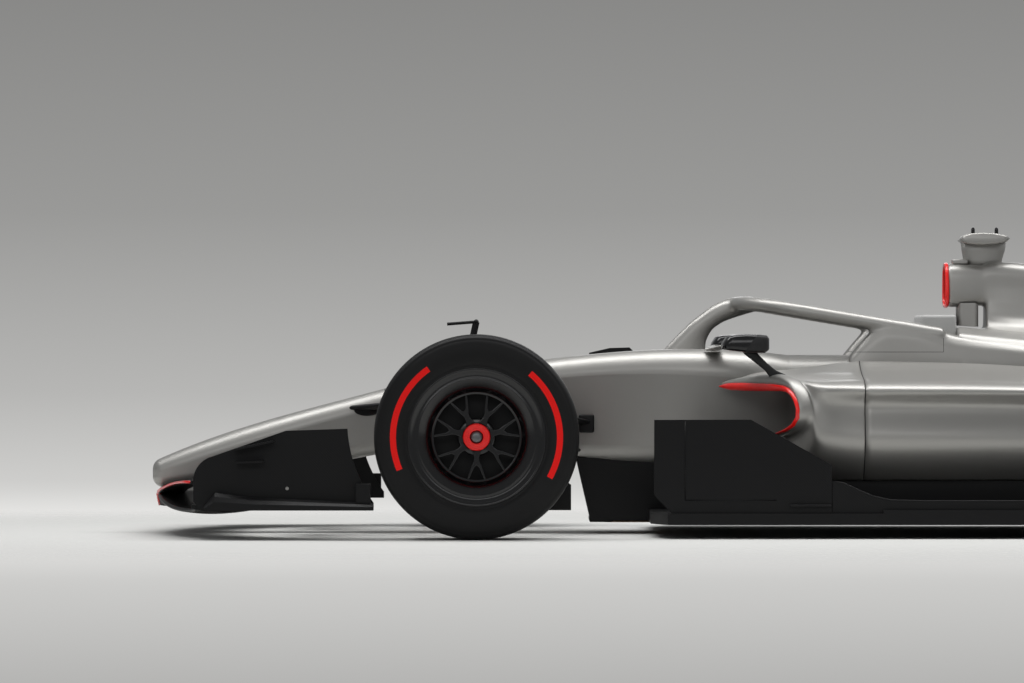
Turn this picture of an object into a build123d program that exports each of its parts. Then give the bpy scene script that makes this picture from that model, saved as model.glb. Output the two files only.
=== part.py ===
from build123d import *
import os
from math import cos, radians, sin, tan

# Open wheel single-seat racing car, in millimetres.
# +X runs aft, +Y to the car's right, +Z up, and the origin lies on the ground under the middle of the car.

os.makedirs("parts", exist_ok=True)

# Driving sizes of the whole car
OVERALL_WIDTH = 1900
WHEELBASE = 3400
FRONT_OVERHANG = 1157
REAR_OVERHANG = 843
RUNNING_GAP = 5
PIN_GAP = 0.1
SEAT_GAP = 0.3

overall_length = FRONT_OVERHANG + WHEELBASE + REAR_OVERHANG
nose_tip_x = -overall_length / 2
tail_x = overall_length / 2
front_axle_x = nose_tip_x + FRONT_OVERHANG
rear_axle_x = front_axle_x + WHEELBASE
half_width = OVERALL_WIDTH / 2

# Tyres, rims and brake drums
FRONT_TYRE_DIAMETER = 705
REAR_TYRE_DIAMETER = 710
FRONT_TYRE_WIDTH = 280
REAR_TYRE_WIDTH = 375
BEAD_RADIUS = 229
BEAD_INSET = 18
SHOULDER_RADIUS = 38
SIDEWALL_RADIUS = 290
RIM_FLANGE_RADIUS = 238
RIM_FLANGE = 7
RIM_WALL = 8
DISH_RADIUS = 182
DISH_DEPTH = 24
SPOKE_RING_RADIUS = 148
SPOKE_RING_WALL = 9
SPOKE_DEPTH = 62
SPOKE_THICKNESS = 20
SPOKE_WIDTH = 15
SPOKE_COUNT = 7
SPOKE_FORK_RADIUS = 96
SPOKE_FORK_ANGLE = 15
HUB_RADIUS = 58
HUB_LENGTH = 70
NUT_RADIUS = 47
NUT_BORE = 22
NUT_LENGTH = 26
SPINDLE_RADIUS = 30
DRUM_RADIUS = 194
DRUM_WALL = 8
DRUM_LENGTH = 130
DRUM_FACE_GAP = 10
HALF_SHAFT_RADIUS = 21
HALF_SHAFT_JOINT_RADIUS = 40
HALF_SHAFT_JOINT_LENGTH = 70

front_radius = FRONT_TYRE_DIAMETER / 2
rear_radius = REAR_TYRE_DIAMETER / 2

# Steering
KINGPIN_INSET = 250
KINGPIN_SPREAD = 135
KINGPIN_RADIUS = 9
KINGPIN_EYE_RADIUS = 20
KINGPIN_EYE_HEIGHT = 30
STEERING_ARM = 90
STEERING_ARM_DROP = 22
STEERING_STUD_RADIUS = 7
TRACK_ROD_RADIUS = 11
TRACK_ROD_EYE_WALL = 7
TRACK_ROD_EYE_PLAY = 5.5
TRACK_ROD_EYE_HEIGHT = 16
RACK_RADIUS = 16

kingpin_y = half_width - KINGPIN_INSET

# Floor and plank
FLOOR_UNDERSIDE = 48
FLOOR_THICKNESS = 40
FLOOR_HALF_WIDTH = 800
PLANK_THICKNESS = 8
PLANK_HALF_WIDTH = 150
floor_top = FLOOR_UNDERSIDE + FLOOR_THICKNESS
DECK_HEIGHT = 107
deck_top = floor_top + DECK_HEIGHT

# Survival cell and bodywork
NOSE_JOINT = -330
TUB_END = 1783
TUB_BASE_START = 790
TUB_BASE_HALF_WIDTH = 230
COCKPIT_FRONT = 850
COCKPIT_REAR = 1600
COCKPIT_HALF_WIDTH = 215
COCKPIT_FLOOR = 128
COCKPIT_CORNER = 90
PANEL_SPLIT = 1343
BODY_SIDE_GAP = 6
ROLL_HOOP_FACE = 1655


def body_section(x, half_top, half_bottom, z_low, z_high, r_top, r_bottom):
    """Closed section across the car: a trapezoid with rounded top and bottom corners."""
    with BuildSketch(Plane.YZ.offset(x)) as section:
        with BuildLine():
            Polyline(
                (-half_bottom, z_low),
                (half_bottom, z_low),
                (half_top, z_high),
                (-half_top, z_high),
                close=True,
            )
        make_face()
        fillet(section.vertices().sort_by(Axis.Y)[-2:], r_top)
        fillet(section.vertices().sort_by(Axis.Y)[:2], r_bottom)
    return section.sketch


def wing_section(y, x_lead, z_lead, chord, rise, camber, thickness, edge=7):
    """Aerofoil section that pushes down: a round leading edge, two arcs and a thin trailing edge."""
    x_mid, z_mid = x_lead + chord / 2, z_lead + rise / 2 - camber
    x_trail, z_trail = x_lead + chord, z_lead + rise
    with BuildSketch(Plane.XZ.offset(-y)) as section:
        with BuildLine():
            top = ThreePointArc(
                (x_lead, z_lead + edge), (x_mid, z_mid + thickness / 2), (x_trail, z_trail + edge / 2)
            )
            Line(top @ 1, (x_trail, z_trail))
            low = ThreePointArc((x_trail, z_trail), (x_mid, z_mid - thickness / 2), (x_lead, z_lead - edge))
            ThreePointArc(low @ 1, (x_lead - edge, z_lead), top @ 0)
        make_face()
    return section.sketch


def strut_section(start, end, chord, thickness):
    """Streamlined tube section at start, square to the line towards end, its chord along the car."""
    with BuildSketch(Plane(origin=start, x_dir=(1, 0, 0), z_dir=Vector(*end) - Vector(*start))) as section:
        Ellipse(chord / 2, thickness / 2)
    return section.sketch


def strut_length(start, end):
    return (Vector(*end) - Vector(*start)).length


def save(part, name):
    """Labels one finished piece and writes it as its own file."""
    part.label = name
    export_step(part, f"parts/{name}.step")


def save_pair(left, name):
    """Writes the car's left piece and its mirror image as left and right nodes."""
    save(left, f"{name}_left")
    with BuildPart() as right:
        mirror(left, about=Plane.XZ)
    save(right.part, f"{name}_right")


def save_both(left, name):
    """Writes the car's left piece and its mirror image as two solids of one node."""
    with BuildPart() as both:
        add(left)
        mirror(left, about=Plane.XZ)
    save(both.part, name)


# Front wing: one main plane across the car, lower outboard than under the nose
ENDPLATE_THICKNESS = 12
FOOTPLATE_WIDTH = 78
wing_end_y = half_width - FOOTPLATE_WIDTH - ENDPLATE_THICKNESS
WING_LEAD_CENTRE = -1125
WING_LEAD_END = -972
# columns: span position, leading edge behind the front axle, leading edge height, chord, rise, camber, thickness
MAIN_PLANE = [
    (0, WING_LEAD_CENTRE, 142, 270, -6, 4, 30),
    (190, WING_LEAD_CENTRE + 6, 134, 275, -2, 8, 30),
    (480, WING_LEAD_CENTRE + 60, 104, 310, 18, 16, 28),
    (wing_end_y, WING_LEAD_END, 112, 330, 26, 16, 24),
]
spans = [(-row[0], *row[1:]) for row in reversed(MAIN_PLANE[1:])] + MAIN_PLANE
FLAP_INNER_Y = 205
FLAP_BRACKET = 14
FLAP_PIN_RADIUS = 6
flap_axis_x, flap_axis_z = front_axle_x - 650, 176
FLAP_CHORD, FLAP_RISE = 200, 145

with BuildPart() as front_wing_main_plane:
    loft(sections=[wing_section(y, front_axle_x + x, *rest) for y, x, *rest in spans])
    for side in (-1, 1):
        with BuildSketch(Plane.XZ.offset(-side * FLAP_INNER_Y)):
            with Locations((flap_axis_x, flap_axis_z)):
                Circle(FLAP_PIN_RADIUS + 12)
            with BuildLine():
                Polyline(
                    (flap_axis_x - 250, flap_axis_z - 51),
                    (flap_axis_x - 4, flap_axis_z + 18),
                    (flap_axis_x + 4, flap_axis_z - 18),
                    (flap_axis_x - 205, flap_axis_z - 55),
                    close=True,
                )
            make_face()
        extrude(amount=side * FLAP_BRACKET)
    with Locations(Plane.XZ):
        with Locations((flap_axis_x, flap_axis_z)):
            Cylinder(FLAP_PIN_RADIUS + PIN_GAP, 2 * FLAP_INNER_Y + 80, mode=Mode.SUBTRACT)
save(front_wing_main_plane.part, "front_wing_main_plane")

# Front wing flaps: one tilting element each side, on pins in the endplate and the inner bracket
flap_outer_y = wing_end_y - RUNNING_GAP
flap_inner_y = FLAP_INNER_Y + RUNNING_GAP
with BuildPart() as flap_left:
    loft(
        sections=[
            wing_section(-y, flap_axis_x, flap_axis_z, FLAP_CHORD, FLAP_RISE, 14, 18)
            for y in (flap_inner_y, flap_outer_y)
        ]
    )
    with BuildSketch(Plane.XZ.offset(FLAP_INNER_Y - FLAP_BRACKET)):
        with Locations((flap_axis_x, flap_axis_z)):
            Circle(FLAP_PIN_RADIUS)
    extrude(amount=wing_end_y + ENDPLATE_THICKNESS / 2 - FLAP_INNER_Y + FLAP_BRACKET)
save_both(flap_left.part, "front_wing_flaps")

# Front wing endplates, each with its footplate and a small dive plane
ENDPLATE_TOP = 381
ENDPLATE_FOOT = 102
ENDPLATE_FRONT = -972
ENDPLATE_REAR = -353
DIVE_PLANE_WIDTH = 58
DIVE_PLANE_THICKNESS = 7
SENSOR_BLOCK = (50, 48, 90)
# columns: behind the endplate's front, height of the rolled footplate
FOOTPLATE_ROLL = [(40, 14), (76, 60), (200, 44), (ENDPLATE_REAR - ENDPLATE_FRONT, 24)]
# columns: share of the width from the outer edge, share of the height
ROLL_SECTION = [(0, 0), (0, 0.5), (0.12, 0.8), (0.35, 1), (0.65, 1), (0.88, 0.8), (1, 0.5), (1, 0)]
with BuildPart() as endplate_left:
    with BuildSketch(Plane.XZ.offset(wing_end_y)):
        with BuildLine():
            front, rear = front_axle_x + ENDPLATE_FRONT, front_axle_x + ENDPLATE_REAR
            nose_arc = ThreePointArc((front, ENDPLATE_FOOT + 100), (front + 16, 252), (front + 66, 286))
            brow = Line(nose_arc @ 1, (front + 318, ENDPLATE_TOP - 7))
            top = Line(brow @ 1, (rear - 90, ENDPLATE_TOP))
            back = ThreePointArc(top @ 1, (rear - 68, 262), (rear, ENDPLATE_FOOT + 24))
            Polyline(
                back @ 1, (rear, ENDPLATE_FOOT), (front + 24, ENDPLATE_FOOT), (front, ENDPLATE_FOOT + 30), nose_arc @ 0
            )
        make_face()
    extrude(amount=ENDPLATE_THICKNESS)
    for x, height in FOOTPLATE_ROLL:
        with BuildSketch(Plane.YZ.offset(front + x)):
            with BuildLine():
                edge = [(across * (half_width - wing_end_y) - half_width, up * height) for across, up in ROLL_SECTION]
                Polyline(*[(y, ENDPLATE_FOOT + z) for y, z in edge], close=True)
            make_face()
    loft(ruled=True)
    with BuildSketch(Plane.XZ.offset(wing_end_y + ENDPLATE_THICKNESS)):
        with Locations((front + 210, 324)):
            Rectangle(138, DIVE_PLANE_THICKNESS, rotation=12)
        with Locations((front + 196, 267)):
            Rectangle(94, DIVE_PLANE_THICKNESS, rotation=2)
    extrude(amount=DIVE_PLANE_WIDTH)
    with Locations((rear - SENSOR_BLOCK[0] / 2 - 10, -wing_end_y - ENDPLATE_THICKNESS, ENDPLATE_FOOT)):
        Box(*SENSOR_BLOCK, align=(Align.CENTER, Align.MAX, Align.MIN))
    add(flap_left.part, mode=Mode.SUBTRACT)
    with BuildSketch(Plane.XZ.offset(wing_end_y)):
        with Locations((flap_axis_x, flap_axis_z)):
            Circle(FLAP_PIN_RADIUS + PIN_GAP)
    extrude(amount=ENDPLATE_THICKNESS, mode=Mode.SUBTRACT)
    add(front_wing_main_plane.part, mode=Mode.SUBTRACT)
save_both(endplate_left.part, "front_wing_endplates")

# Nose cone, seated on the middle of the main plane
NOSE_TIP_RADIUS = 38
# columns: behind the front axle, half width at top, at bottom, lowest, highest, top radius, bottom radius
NOSE = [
    (-FRONT_OVERHANG, 68, 62, 160, 252, 42, 38),
    (-950, 90, 80, 178, 336, 58, 46),
    (-680, 107, 94, 220, 420, 60, 50),
    (NOSE_JOINT, 132, 118, 283, 513, 62, 54),
]
NOSE_PYLON_LENGTH = 190
NOSE_PYLON_WIDTH = 84
NOSE_PYLON_FOOT = 136
NOSE_PYLON_HEIGHT = 75
with BuildPart() as nose_cone:
    loft(sections=[body_section(front_axle_x + x, *rest) for x, *rest in NOSE])
    fillet(nose_cone.faces().sort_by(Axis.X)[0].edges(), NOSE_TIP_RADIUS)
    with BuildSketch(Plane.XY.offset(NOSE_PYLON_FOOT)):
        with Locations((front_axle_x - 975, 0)):
            SlotOverall(NOSE_PYLON_LENGTH, NOSE_PYLON_WIDTH)
    extrude(amount=NOSE_PYLON_HEIGHT)
    add(front_wing_main_plane.part, mode=Mode.SUBTRACT)
save(nose_cone.part, "nose_cone")

# Survival cell: the tub from the nose joint to the engine, hollow at the cockpit and the leg well
# columns: as for the nose
TUB = [
    (NOSE_JOINT, 132, 118, 283, 513, 62, 54),
    (0, 156, 140, 270, 580, 64, 56),
    (363, 200, 182, 258, 631, 70, 60),
    (660, 262, 225, 252, 652, 80, 66),
    (1100, 300, 255, 250, 632, 84, 70),
    (TUB_END, 300, 255, 250, 632, 84, 70),
]
tub_half_width = TUB[-1][1]
tub_top = TUB[-1][4]
rack_x = front_axle_x - STEERING_ARM
rack_z = front_radius - STEERING_ARM_DROP
# columns: behind the front axle, half width, lowest, highest
LEG_WELL = [(-160, 92, 306, 486), (COCKPIT_FRONT, 186, 276, 424)]
COLUMN_RADIUS = 16
COLUMN_SLOPE = 8
COLUMN_SEAT = 100
STEERING_WHEEL_SETBACK = 165
steering_wheel_x = front_axle_x + COCKPIT_FRONT + STEERING_WHEEL_SETBACK
steering_wheel_z = 520
column_axis = Plane(
    origin=(steering_wheel_x, 0, steering_wheel_z),
    x_dir=(0, 1, 0),
    z_dir=(-cos(radians(COLUMN_SLOPE)), 0, -sin(radians(COLUMN_SLOPE))),
)
column_length = (STEERING_WHEEL_SETBACK + COLUMN_SEAT) / cos(radians(COLUMN_SLOPE))

with BuildPart() as survival_cell:
    loft(sections=[body_section(front_axle_x + x, *rest) for x, *rest in TUB[:-1]])
    loft(sections=[body_section(front_axle_x + x, *rest) for x, *rest in TUB[-2:]])
    with BuildSketch(Plane.XY.offset(floor_top)):
        with Locations((front_axle_x + (TUB_BASE_START + TUB_END) / 2, 0)):
            Rectangle(TUB_END - TUB_BASE_START, 2 * TUB_BASE_HALF_WIDTH)
    extrude(amount=300)
    with BuildSketch(Plane.XY.offset(COCKPIT_FLOOR)):
        with Locations((front_axle_x + (COCKPIT_FRONT + COCKPIT_REAR) / 2, 0)):
            RectangleRounded(COCKPIT_REAR - COCKPIT_FRONT, 2 * COCKPIT_HALF_WIDTH, COCKPIT_CORNER)
    extrude(amount=tub_top, mode=Mode.SUBTRACT)
    wells = []
    for x, half, low, high in LEG_WELL:
        with BuildSketch(Plane.YZ.offset(front_axle_x + x)) as well:
            with Locations((0, (low + high) / 2)):
                Rectangle(2 * half, high - low)
        wells.append(well.sketch)
    loft(sections=wells, mode=Mode.SUBTRACT)
    with BuildSketch(Plane.YZ.offset(front_axle_x + COCKPIT_FRONT)):
        with Locations((0, (LEG_WELL[1][2] + LEG_WELL[1][3]) / 2)):
            Rectangle(2 * LEG_WELL[1][1], LEG_WELL[1][3] - LEG_WELL[1][2])
    extrude(amount=COCKPIT_CORNER, mode=Mode.SUBTRACT)
    with BuildSketch(Plane.XZ.offset(-half_width)):
        with Locations((rack_x, rack_z)):
            Circle(RACK_RADIUS + PIN_GAP)
    extrude(amount=2 * half_width, mode=Mode.SUBTRACT)
    with BuildSketch(column_axis):
        Circle(COLUMN_RADIUS + PIN_GAP)
    extrude(amount=column_length + RUNNING_GAP, mode=Mode.SUBTRACT)
save(survival_cell.part, "survival_cell")

# Steering wheel on its column, which turns in the dash
STEERING_WHEEL_WIDTH = 280
STEERING_WHEEL_HEIGHT = 165
STEERING_WHEEL_THICKNESS = 34
with BuildPart() as steering_wheel:
    with BuildSketch(column_axis):
        RectangleRounded(STEERING_WHEEL_WIDTH, STEERING_WHEEL_HEIGHT, 45)
        with Locations((-STEERING_WHEEL_WIDTH / 2 + 62, 0), (STEERING_WHEEL_WIDTH / 2 - 62, 0)):
            SlotOverall(100, 34, rotation=90, mode=Mode.SUBTRACT)
    extrude(amount=-STEERING_WHEEL_THICKNESS)
    fillet(steering_wheel.edges().filter_by(GeomType.CIRCLE).filter_by(lambda e: e.radius > 40), 9)
    with BuildSketch(column_axis):
        Circle(COLUMN_RADIUS)
    extrude(amount=column_length)
save(steering_wheel.part, "steering_wheel")

# Steering rack with its two track rods, which slide across the car
rack_half = 190
track_rod_eye_radius = STEERING_STUD_RADIUS + TRACK_ROD_EYE_PLAY
with BuildPart() as steering_rack:
    with Locations(Plane.XZ):
        with Locations((rack_x, rack_z)):
            Cylinder(RACK_RADIUS, 2 * rack_half)
            Cylinder(TRACK_ROD_RADIUS, 2 * (kingpin_y - track_rod_eye_radius - 2))
    with Locations((rack_x, -kingpin_y, rack_z), (rack_x, kingpin_y, rack_z)):
        Cylinder(track_rod_eye_radius + TRACK_ROD_EYE_WALL, TRACK_ROD_EYE_HEIGHT)
        Cylinder(track_rod_eye_radius, TRACK_ROD_EYE_HEIGHT, mode=Mode.SUBTRACT)
save(steering_rack.part, "steering_rack")


# Wheels and tyres
def tyre(axle_x, radius, width):
    """Slick tyre of the car's left side: bulged sidewalls, round shoulders and a flat tread."""
    outer, inner = half_width, half_width - width
    middle = (outer + inner) / 2
    half_bead = width / 2 - BEAD_INSET
    half_tread = width / 2 - SHOULDER_RADIUS
    with BuildPart() as ring:
        with BuildSketch(Plane.YZ.offset(axle_x)) as section:
            with BuildLine() as outline:
                bead = Line((-half_bead, BEAD_RADIUS + SEAT_GAP), (half_bead, BEAD_RADIUS + SEAT_GAP))
                flank = Line(bead @ 1, (half_bead, RIM_FLANGE_RADIUS + 4))
                TangentArc((width / 2, SIDEWALL_RADIUS), flank @ 1, tangent=(0, -1))
                shoulder = TangentArc((width / 2, SIDEWALL_RADIUS), (half_tread, radius), tangent=(0, 1))
                Line(shoulder @ 1, (0, radius))
                mirror(about=Plane.YZ)
            make_face()
        revolve(axis=Axis((axle_x, 0, 0), (0, 1, 0)))
    with BuildPart() as placed:
        with Locations((0, -middle, radius)):
            add(ring.part)
    return placed.part


def forked_spoke():
    """Outline of one spoke along +X: a stem from the hub that splits into two tines at the spoke ring."""
    reach = SPOKE_RING_RADIUS + SPOKE_RING_WALL / 2
    crotch = SPOKE_FORK_RADIUS - 2 * SPOKE_WIDTH
    spread = reach * sin(radians(SPOKE_FORK_ANGLE))
    with BuildSketch() as spoke:
        with Locations((SPOKE_FORK_RADIUS / 2, 0)):
            Rectangle(SPOKE_FORK_RADIUS, SPOKE_WIDTH)
        for side in (-1, 1):
            with BuildLine():
                Polyline(
                    (crotch, -SPOKE_WIDTH / 2),
                    (reach * cos(radians(SPOKE_FORK_ANGLE)), side * spread - SPOKE_WIDTH / 2),
                    (reach * cos(radians(SPOKE_FORK_ANGLE)), side * spread + SPOKE_WIDTH / 2),
                    (crotch, SPOKE_WIDTH / 2),
                    close=True,
                )
            make_face()
    return spoke.sketch


def wheel(axle_x, radius, width):
    """Forged rim of the car's left side: barrel, dish, forked spokes, hub and centre nut."""
    outer, inner = -half_width, -half_width + width
    lip = outer + BEAD_INSET
    back = inner - BEAD_INSET
    face = lip + SPOKE_DEPTH
    axis = Axis((axle_x, 0, radius), (0, 1, 0))
    barrel_inner = BEAD_RADIUS - RIM_WALL
    with BuildPart() as rim:
        with BuildSketch(Plane.YZ.offset(axle_x)):
            with BuildLine():
                Polyline(
                    (back + RIM_FLANGE, radius + barrel_inner),
                    (back + RIM_FLANGE, radius + RIM_FLANGE_RADIUS),
                    (back + SEAT_GAP, radius + RIM_FLANGE_RADIUS),
                    (back + SEAT_GAP, radius + BEAD_RADIUS),
                    (lip - SEAT_GAP, radius + BEAD_RADIUS),
                    (lip - SEAT_GAP, radius + RIM_FLANGE_RADIUS),
                    (lip - RIM_FLANGE, radius + RIM_FLANGE_RADIUS),
                    (lip - RIM_FLANGE, radius + barrel_inner),
                    (lip + DISH_DEPTH, radius + DISH_RADIUS),
                    (face, radius + SPOKE_RING_RADIUS),
                    (face + SPOKE_THICKNESS, radius + SPOKE_RING_RADIUS),
                    (face + SPOKE_THICKNESS, radius + SPOKE_RING_RADIUS + SPOKE_RING_WALL),
                    (lip + DISH_DEPTH + SPOKE_RING_WALL, radius + DISH_RADIUS + SPOKE_RING_WALL),
                    (lip + DISH_DEPTH + SPOKE_RING_WALL, radius + barrel_inner),
                    close=True,
                )
            make_face()
        revolve(axis=axis)
        with BuildSketch(Plane(origin=(axle_x, face, radius), x_dir=(1, 0, 0), z_dir=(0, 1, 0))):
            Circle(HUB_RADIUS)
            with PolarLocations(0, SPOKE_COUNT, start_angle=90):
                add(forked_spoke())
        extrude(amount=SPOKE_THICKNESS)
        with BuildSketch(Plane(origin=(axle_x, face, radius), x_dir=(1, 0, 0), z_dir=(0, 1, 0))):
            Circle(HUB_RADIUS)
        extrude(amount=HUB_LENGTH)
        with BuildSketch(Plane(origin=(axle_x, face, radius), x_dir=(1, 0, 0), z_dir=(0, -1, 0))):
            RegularPolygon(NUT_RADIUS, 12)
            Circle(NUT_BORE, mode=Mode.SUBTRACT)
        extrude(amount=NUT_LENGTH)
        with BuildSketch(Plane(origin=(axle_x, face + HUB_LENGTH, radius), x_dir=(1, 0, 0), z_dir=(0, -1, 0))):
            Circle(SPINDLE_RADIUS + PIN_GAP)
        extrude(amount=HUB_LENGTH - SPOKE_THICKNESS / 2, mode=Mode.SUBTRACT)
    return rim.part


front_face_y = -half_width + BEAD_INSET + SPOKE_DEPTH
hub_back_y = front_face_y + HUB_LENGTH
spindle_tip_y = front_face_y + SPOKE_THICKNESS / 2 + RUNNING_GAP
drum_face_y = hub_back_y + DRUM_FACE_GAP
for axle, axle_x, radius, width in (
    ("front", front_axle_x, front_radius, FRONT_TYRE_WIDTH),
    ("rear", rear_axle_x, rear_radius, REAR_TYRE_WIDTH),
):
    save_pair(tyre(axle_x, radius, width), f"{axle}_tyre")
    save_pair(wheel(axle_x, radius, width), f"{axle}_wheel")


def brake_drum(axle_x, radius, length):
    """Carbon brake drum of the car's left side: a shallow cup inside the rim, open inboard, on its spindle."""
    with BuildPart() as drum:
        with BuildSketch(Plane(origin=(axle_x, drum_face_y, radius), x_dir=(1, 0, 0), z_dir=(0, 1, 0))):
            Circle(DRUM_RADIUS)
        extrude(amount=length)
        with BuildSketch(Plane(origin=(axle_x, drum_face_y + DRUM_WALL, radius), x_dir=(1, 0, 0), z_dir=(0, 1, 0))):
            Circle(DRUM_RADIUS - DRUM_WALL)
        extrude(amount=length, mode=Mode.SUBTRACT)
        with BuildSketch(Plane(origin=(axle_x, spindle_tip_y, radius), x_dir=(1, 0, 0), z_dir=(0, 1, 0))):
            Circle(SPINDLE_RADIUS)
        extrude(amount=drum_face_y - spindle_tip_y + DRUM_WALL)
    return drum.part


# Front uprights: drum, kingpin post and forks, steering arm, cooling scoop and wake deflector
UPRIGHT_LENGTH = 90
FORK_WALL = 10
FORK_PLAY = 1
ARM_PLAY = 2.5
STUD_HEAD = 4
DEFLECTOR_REACH = 326
DEFLECTOR_LOW = 96
DEFLECTOR_THICKNESS = 6
kingpin_top_z = front_radius + KINGPIN_SPREAD
kingpin_low_z = front_radius - KINGPIN_SPREAD
post_inner_y = -kingpin_y - KINGPIN_EYE_RADIUS - FORK_PLAY
post_outer_y = drum_face_y + DRUM_WALL
drum_back_y = drum_face_y + DRUM_LENGTH
with BuildPart() as front_upright:
    add(brake_drum(front_axle_x, front_radius, DRUM_LENGTH))
    post_height = KINGPIN_EYE_HEIGHT / 2 + FORK_PLAY + FORK_WALL
    with Locations((front_axle_x, (post_inner_y + post_outer_y) / 2, front_radius)):
        Box(UPRIGHT_LENGTH, post_inner_y - post_outer_y, 2 * (KINGPIN_SPREAD + post_height))
    for z in (kingpin_top_z, kingpin_low_z):
        for lug in (-1, 1):
            lug_z = z + lug * (KINGPIN_EYE_HEIGHT / 2 + FORK_PLAY + FORK_WALL / 2)
            with Locations((front_axle_x, -kingpin_y, lug_z)):
                Cylinder(KINGPIN_EYE_RADIUS, FORK_WALL)
            with Locations((front_axle_x, -kingpin_y - KINGPIN_EYE_RADIUS / 2, lug_z)):
                Box(2 * KINGPIN_EYE_RADIUS, KINGPIN_EYE_RADIUS + 2 * FORK_PLAY, FORK_WALL)
        with Locations((front_axle_x, -kingpin_y, z)):
            Cylinder(KINGPIN_RADIUS, KINGPIN_EYE_HEIGHT + 2 * FORK_PLAY + FORK_WALL)
    arm_low_z = rack_z - TRACK_ROD_RADIUS - ARM_PLAY - FORK_WALL
    with BuildSketch(Plane.XY.offset(arm_low_z)):
        with BuildLine():
            Polyline(
                (front_axle_x + 10, post_inner_y),
                (rack_x - 14, -kingpin_y + 12),
                (rack_x - 14, -kingpin_y - 20),
                (front_axle_x - 30, post_outer_y),
                (front_axle_x + 10, post_outer_y),
                close=True,
            )
        make_face()
    extrude(amount=FORK_WALL)
    with BuildSketch(Plane.XY.offset(arm_low_z)):
        with Locations((rack_x, -kingpin_y)):
            Circle(STEERING_STUD_RADIUS)
    extrude(amount=rack_z + TRACK_ROD_EYE_HEIGHT / 2 + STUD_HEAD - arm_low_z)
    with BuildSketch(Plane.XZ.offset(-drum_back_y)):
        with BuildLine():
            Polyline(
                (front_axle_x + 142, front_radius - 118),
                (front_axle_x + 186, front_radius - 60),
                (front_axle_x + DEFLECTOR_REACH, DEFLECTOR_LOW + 88),
                (front_axle_x + DEFLECTOR_REACH, DEFLECTOR_LOW),
                (front_axle_x + 225, DEFLECTOR_LOW),
                close=True,
            )
        make_face()
    extrude(amount=DEFLECTOR_THICKNESS)
    with BuildSketch(Plane.YZ.offset(front_axle_x - DRUM_RADIUS - 34)):
        with Locations((drum_back_y + 22, front_radius + 18)):
            RectangleRounded(52, 190, 22)
            RectangleRounded(40, 178, 18, mode=Mode.SUBTRACT)
    extrude(amount=72)
save_pair(front_upright.part, "front_upright")


# Front suspension: two wishbones and a push rod each side, fixed at ride height
STRUT_CHORD = 62
STRUT_THICKNESS = 21
ROD_CHORD = 44
# columns: root behind the axle, root half width, root height, of the front and then the rear leg
FRONT_UPPER_ROOTS = [(-430, 100, 444), (393, 164, 388)]
FRONT_LOWER_ROOTS = [(-300, 96, 318), (343, 158, 300)]
PUSH_ROD_FOOT_INSET = 64
EYE_CUT = (Align.CENTER, Align.MAX, Align.CENTER)
with BuildPart() as front_wishbones:
    for eye_z, roots in ((kingpin_top_z, FRONT_UPPER_ROOTS), (kingpin_low_z, FRONT_LOWER_ROOTS)):
        eye = (front_axle_x, -kingpin_y, eye_z)
        for x, y, z in roots:
            root = (front_axle_x + x, -y, z)
            extrude(strut_section(eye, root, STRUT_CHORD, STRUT_THICKNESS), amount=strut_length(eye, root))
        with Locations(eye):
            Box(2 * STRUT_CHORD, STRUT_CHORD, STRUT_CHORD, align=EYE_CUT, mode=Mode.SUBTRACT)
            Cylinder(KINGPIN_EYE_RADIUS, KINGPIN_EYE_HEIGHT)
            Cylinder(KINGPIN_RADIUS + PIN_GAP, 2 * KINGPIN_EYE_HEIGHT, mode=Mode.SUBTRACT)
    foot = (front_axle_x, -kingpin_y + PUSH_ROD_FOOT_INSET, kingpin_low_z + 8)
    head = (front_axle_x, -120, 560)
    extrude(strut_section(foot, head, ROD_CHORD, STRUT_THICKNESS), amount=strut_length(foot, head))
    add(survival_cell.part, mode=Mode.SUBTRACT)
    add(nose_cone.part, mode=Mode.SUBTRACT)
save_both(front_wishbones.part, "front_wishbones")


# Halo: a round tube looping over the cockpit, sloping down aft, on one pylon ahead of the driver
HALO_TUBE_RADIUS = 25
HALO_HALF_WIDTH = 250
HALO_SLOPE = 9.5
HALO_REAR_Z = 704
HALO_LEG = 478
HALO_PYLON_WIDTH = 46
halo_rear_x = front_axle_x + 1643
halo_plane = Plane(
    origin=(halo_rear_x, 0, HALO_REAR_Z),
    x_dir=(-cos(radians(HALO_SLOPE)), 0, sin(radians(HALO_SLOPE))),
    z_dir=(sin(radians(HALO_SLOPE)), 0, cos(radians(HALO_SLOPE))),
)
# columns: behind the front axle, height; the pylon seen from the side
HALO_PYLON_FRONT = [(638, 600), (640, 648), (738, 749), (881, 838)]
HALO_PYLON_REAR = [(948, 800), (862, 740), (824, 668), (820, 600)]
with BuildPart() as halo:
    with BuildLine(halo_plane):
        leg = Line((0, HALO_HALF_WIDTH), (HALO_LEG, HALO_HALF_WIDTH))
        bow = ThreePointArc(leg @ 1, (HALO_LEG + HALO_HALF_WIDTH, 0), (HALO_LEG, -HALO_HALF_WIDTH))
        Line(bow @ 1, (0, -HALO_HALF_WIDTH))
    with BuildSketch(Plane(origin=leg @ 0, z_dir=leg % 0)):
        Circle(HALO_TUBE_RADIUS)
    sweep()
    with BuildSketch(Plane.XZ.offset(-HALO_PYLON_WIDTH / 2)):
        with BuildLine():
            front = [(front_axle_x + x, z) for x, z in HALO_PYLON_FRONT]
            rear = [(front_axle_x + x, z) for x, z in HALO_PYLON_REAR]
            Line(front[0], front[1])
            ThreePointArc(*front[1:])
            Line(front[-1], rear[0])
            ThreePointArc(*rear[:3])
            Polyline(rear[2], rear[3], front[0])
        make_face()
    extrude(amount=HALO_PYLON_WIDTH)
    add(survival_cell.part, mode=Mode.SUBTRACT)
save(halo.part, "halo")

# Headrest: padded sides and back of the cockpit, around the halo's feet
HEADREST_HALF_WIDTH = 288
HEADREST_INNER = 198
HEADREST_END = 1690
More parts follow.
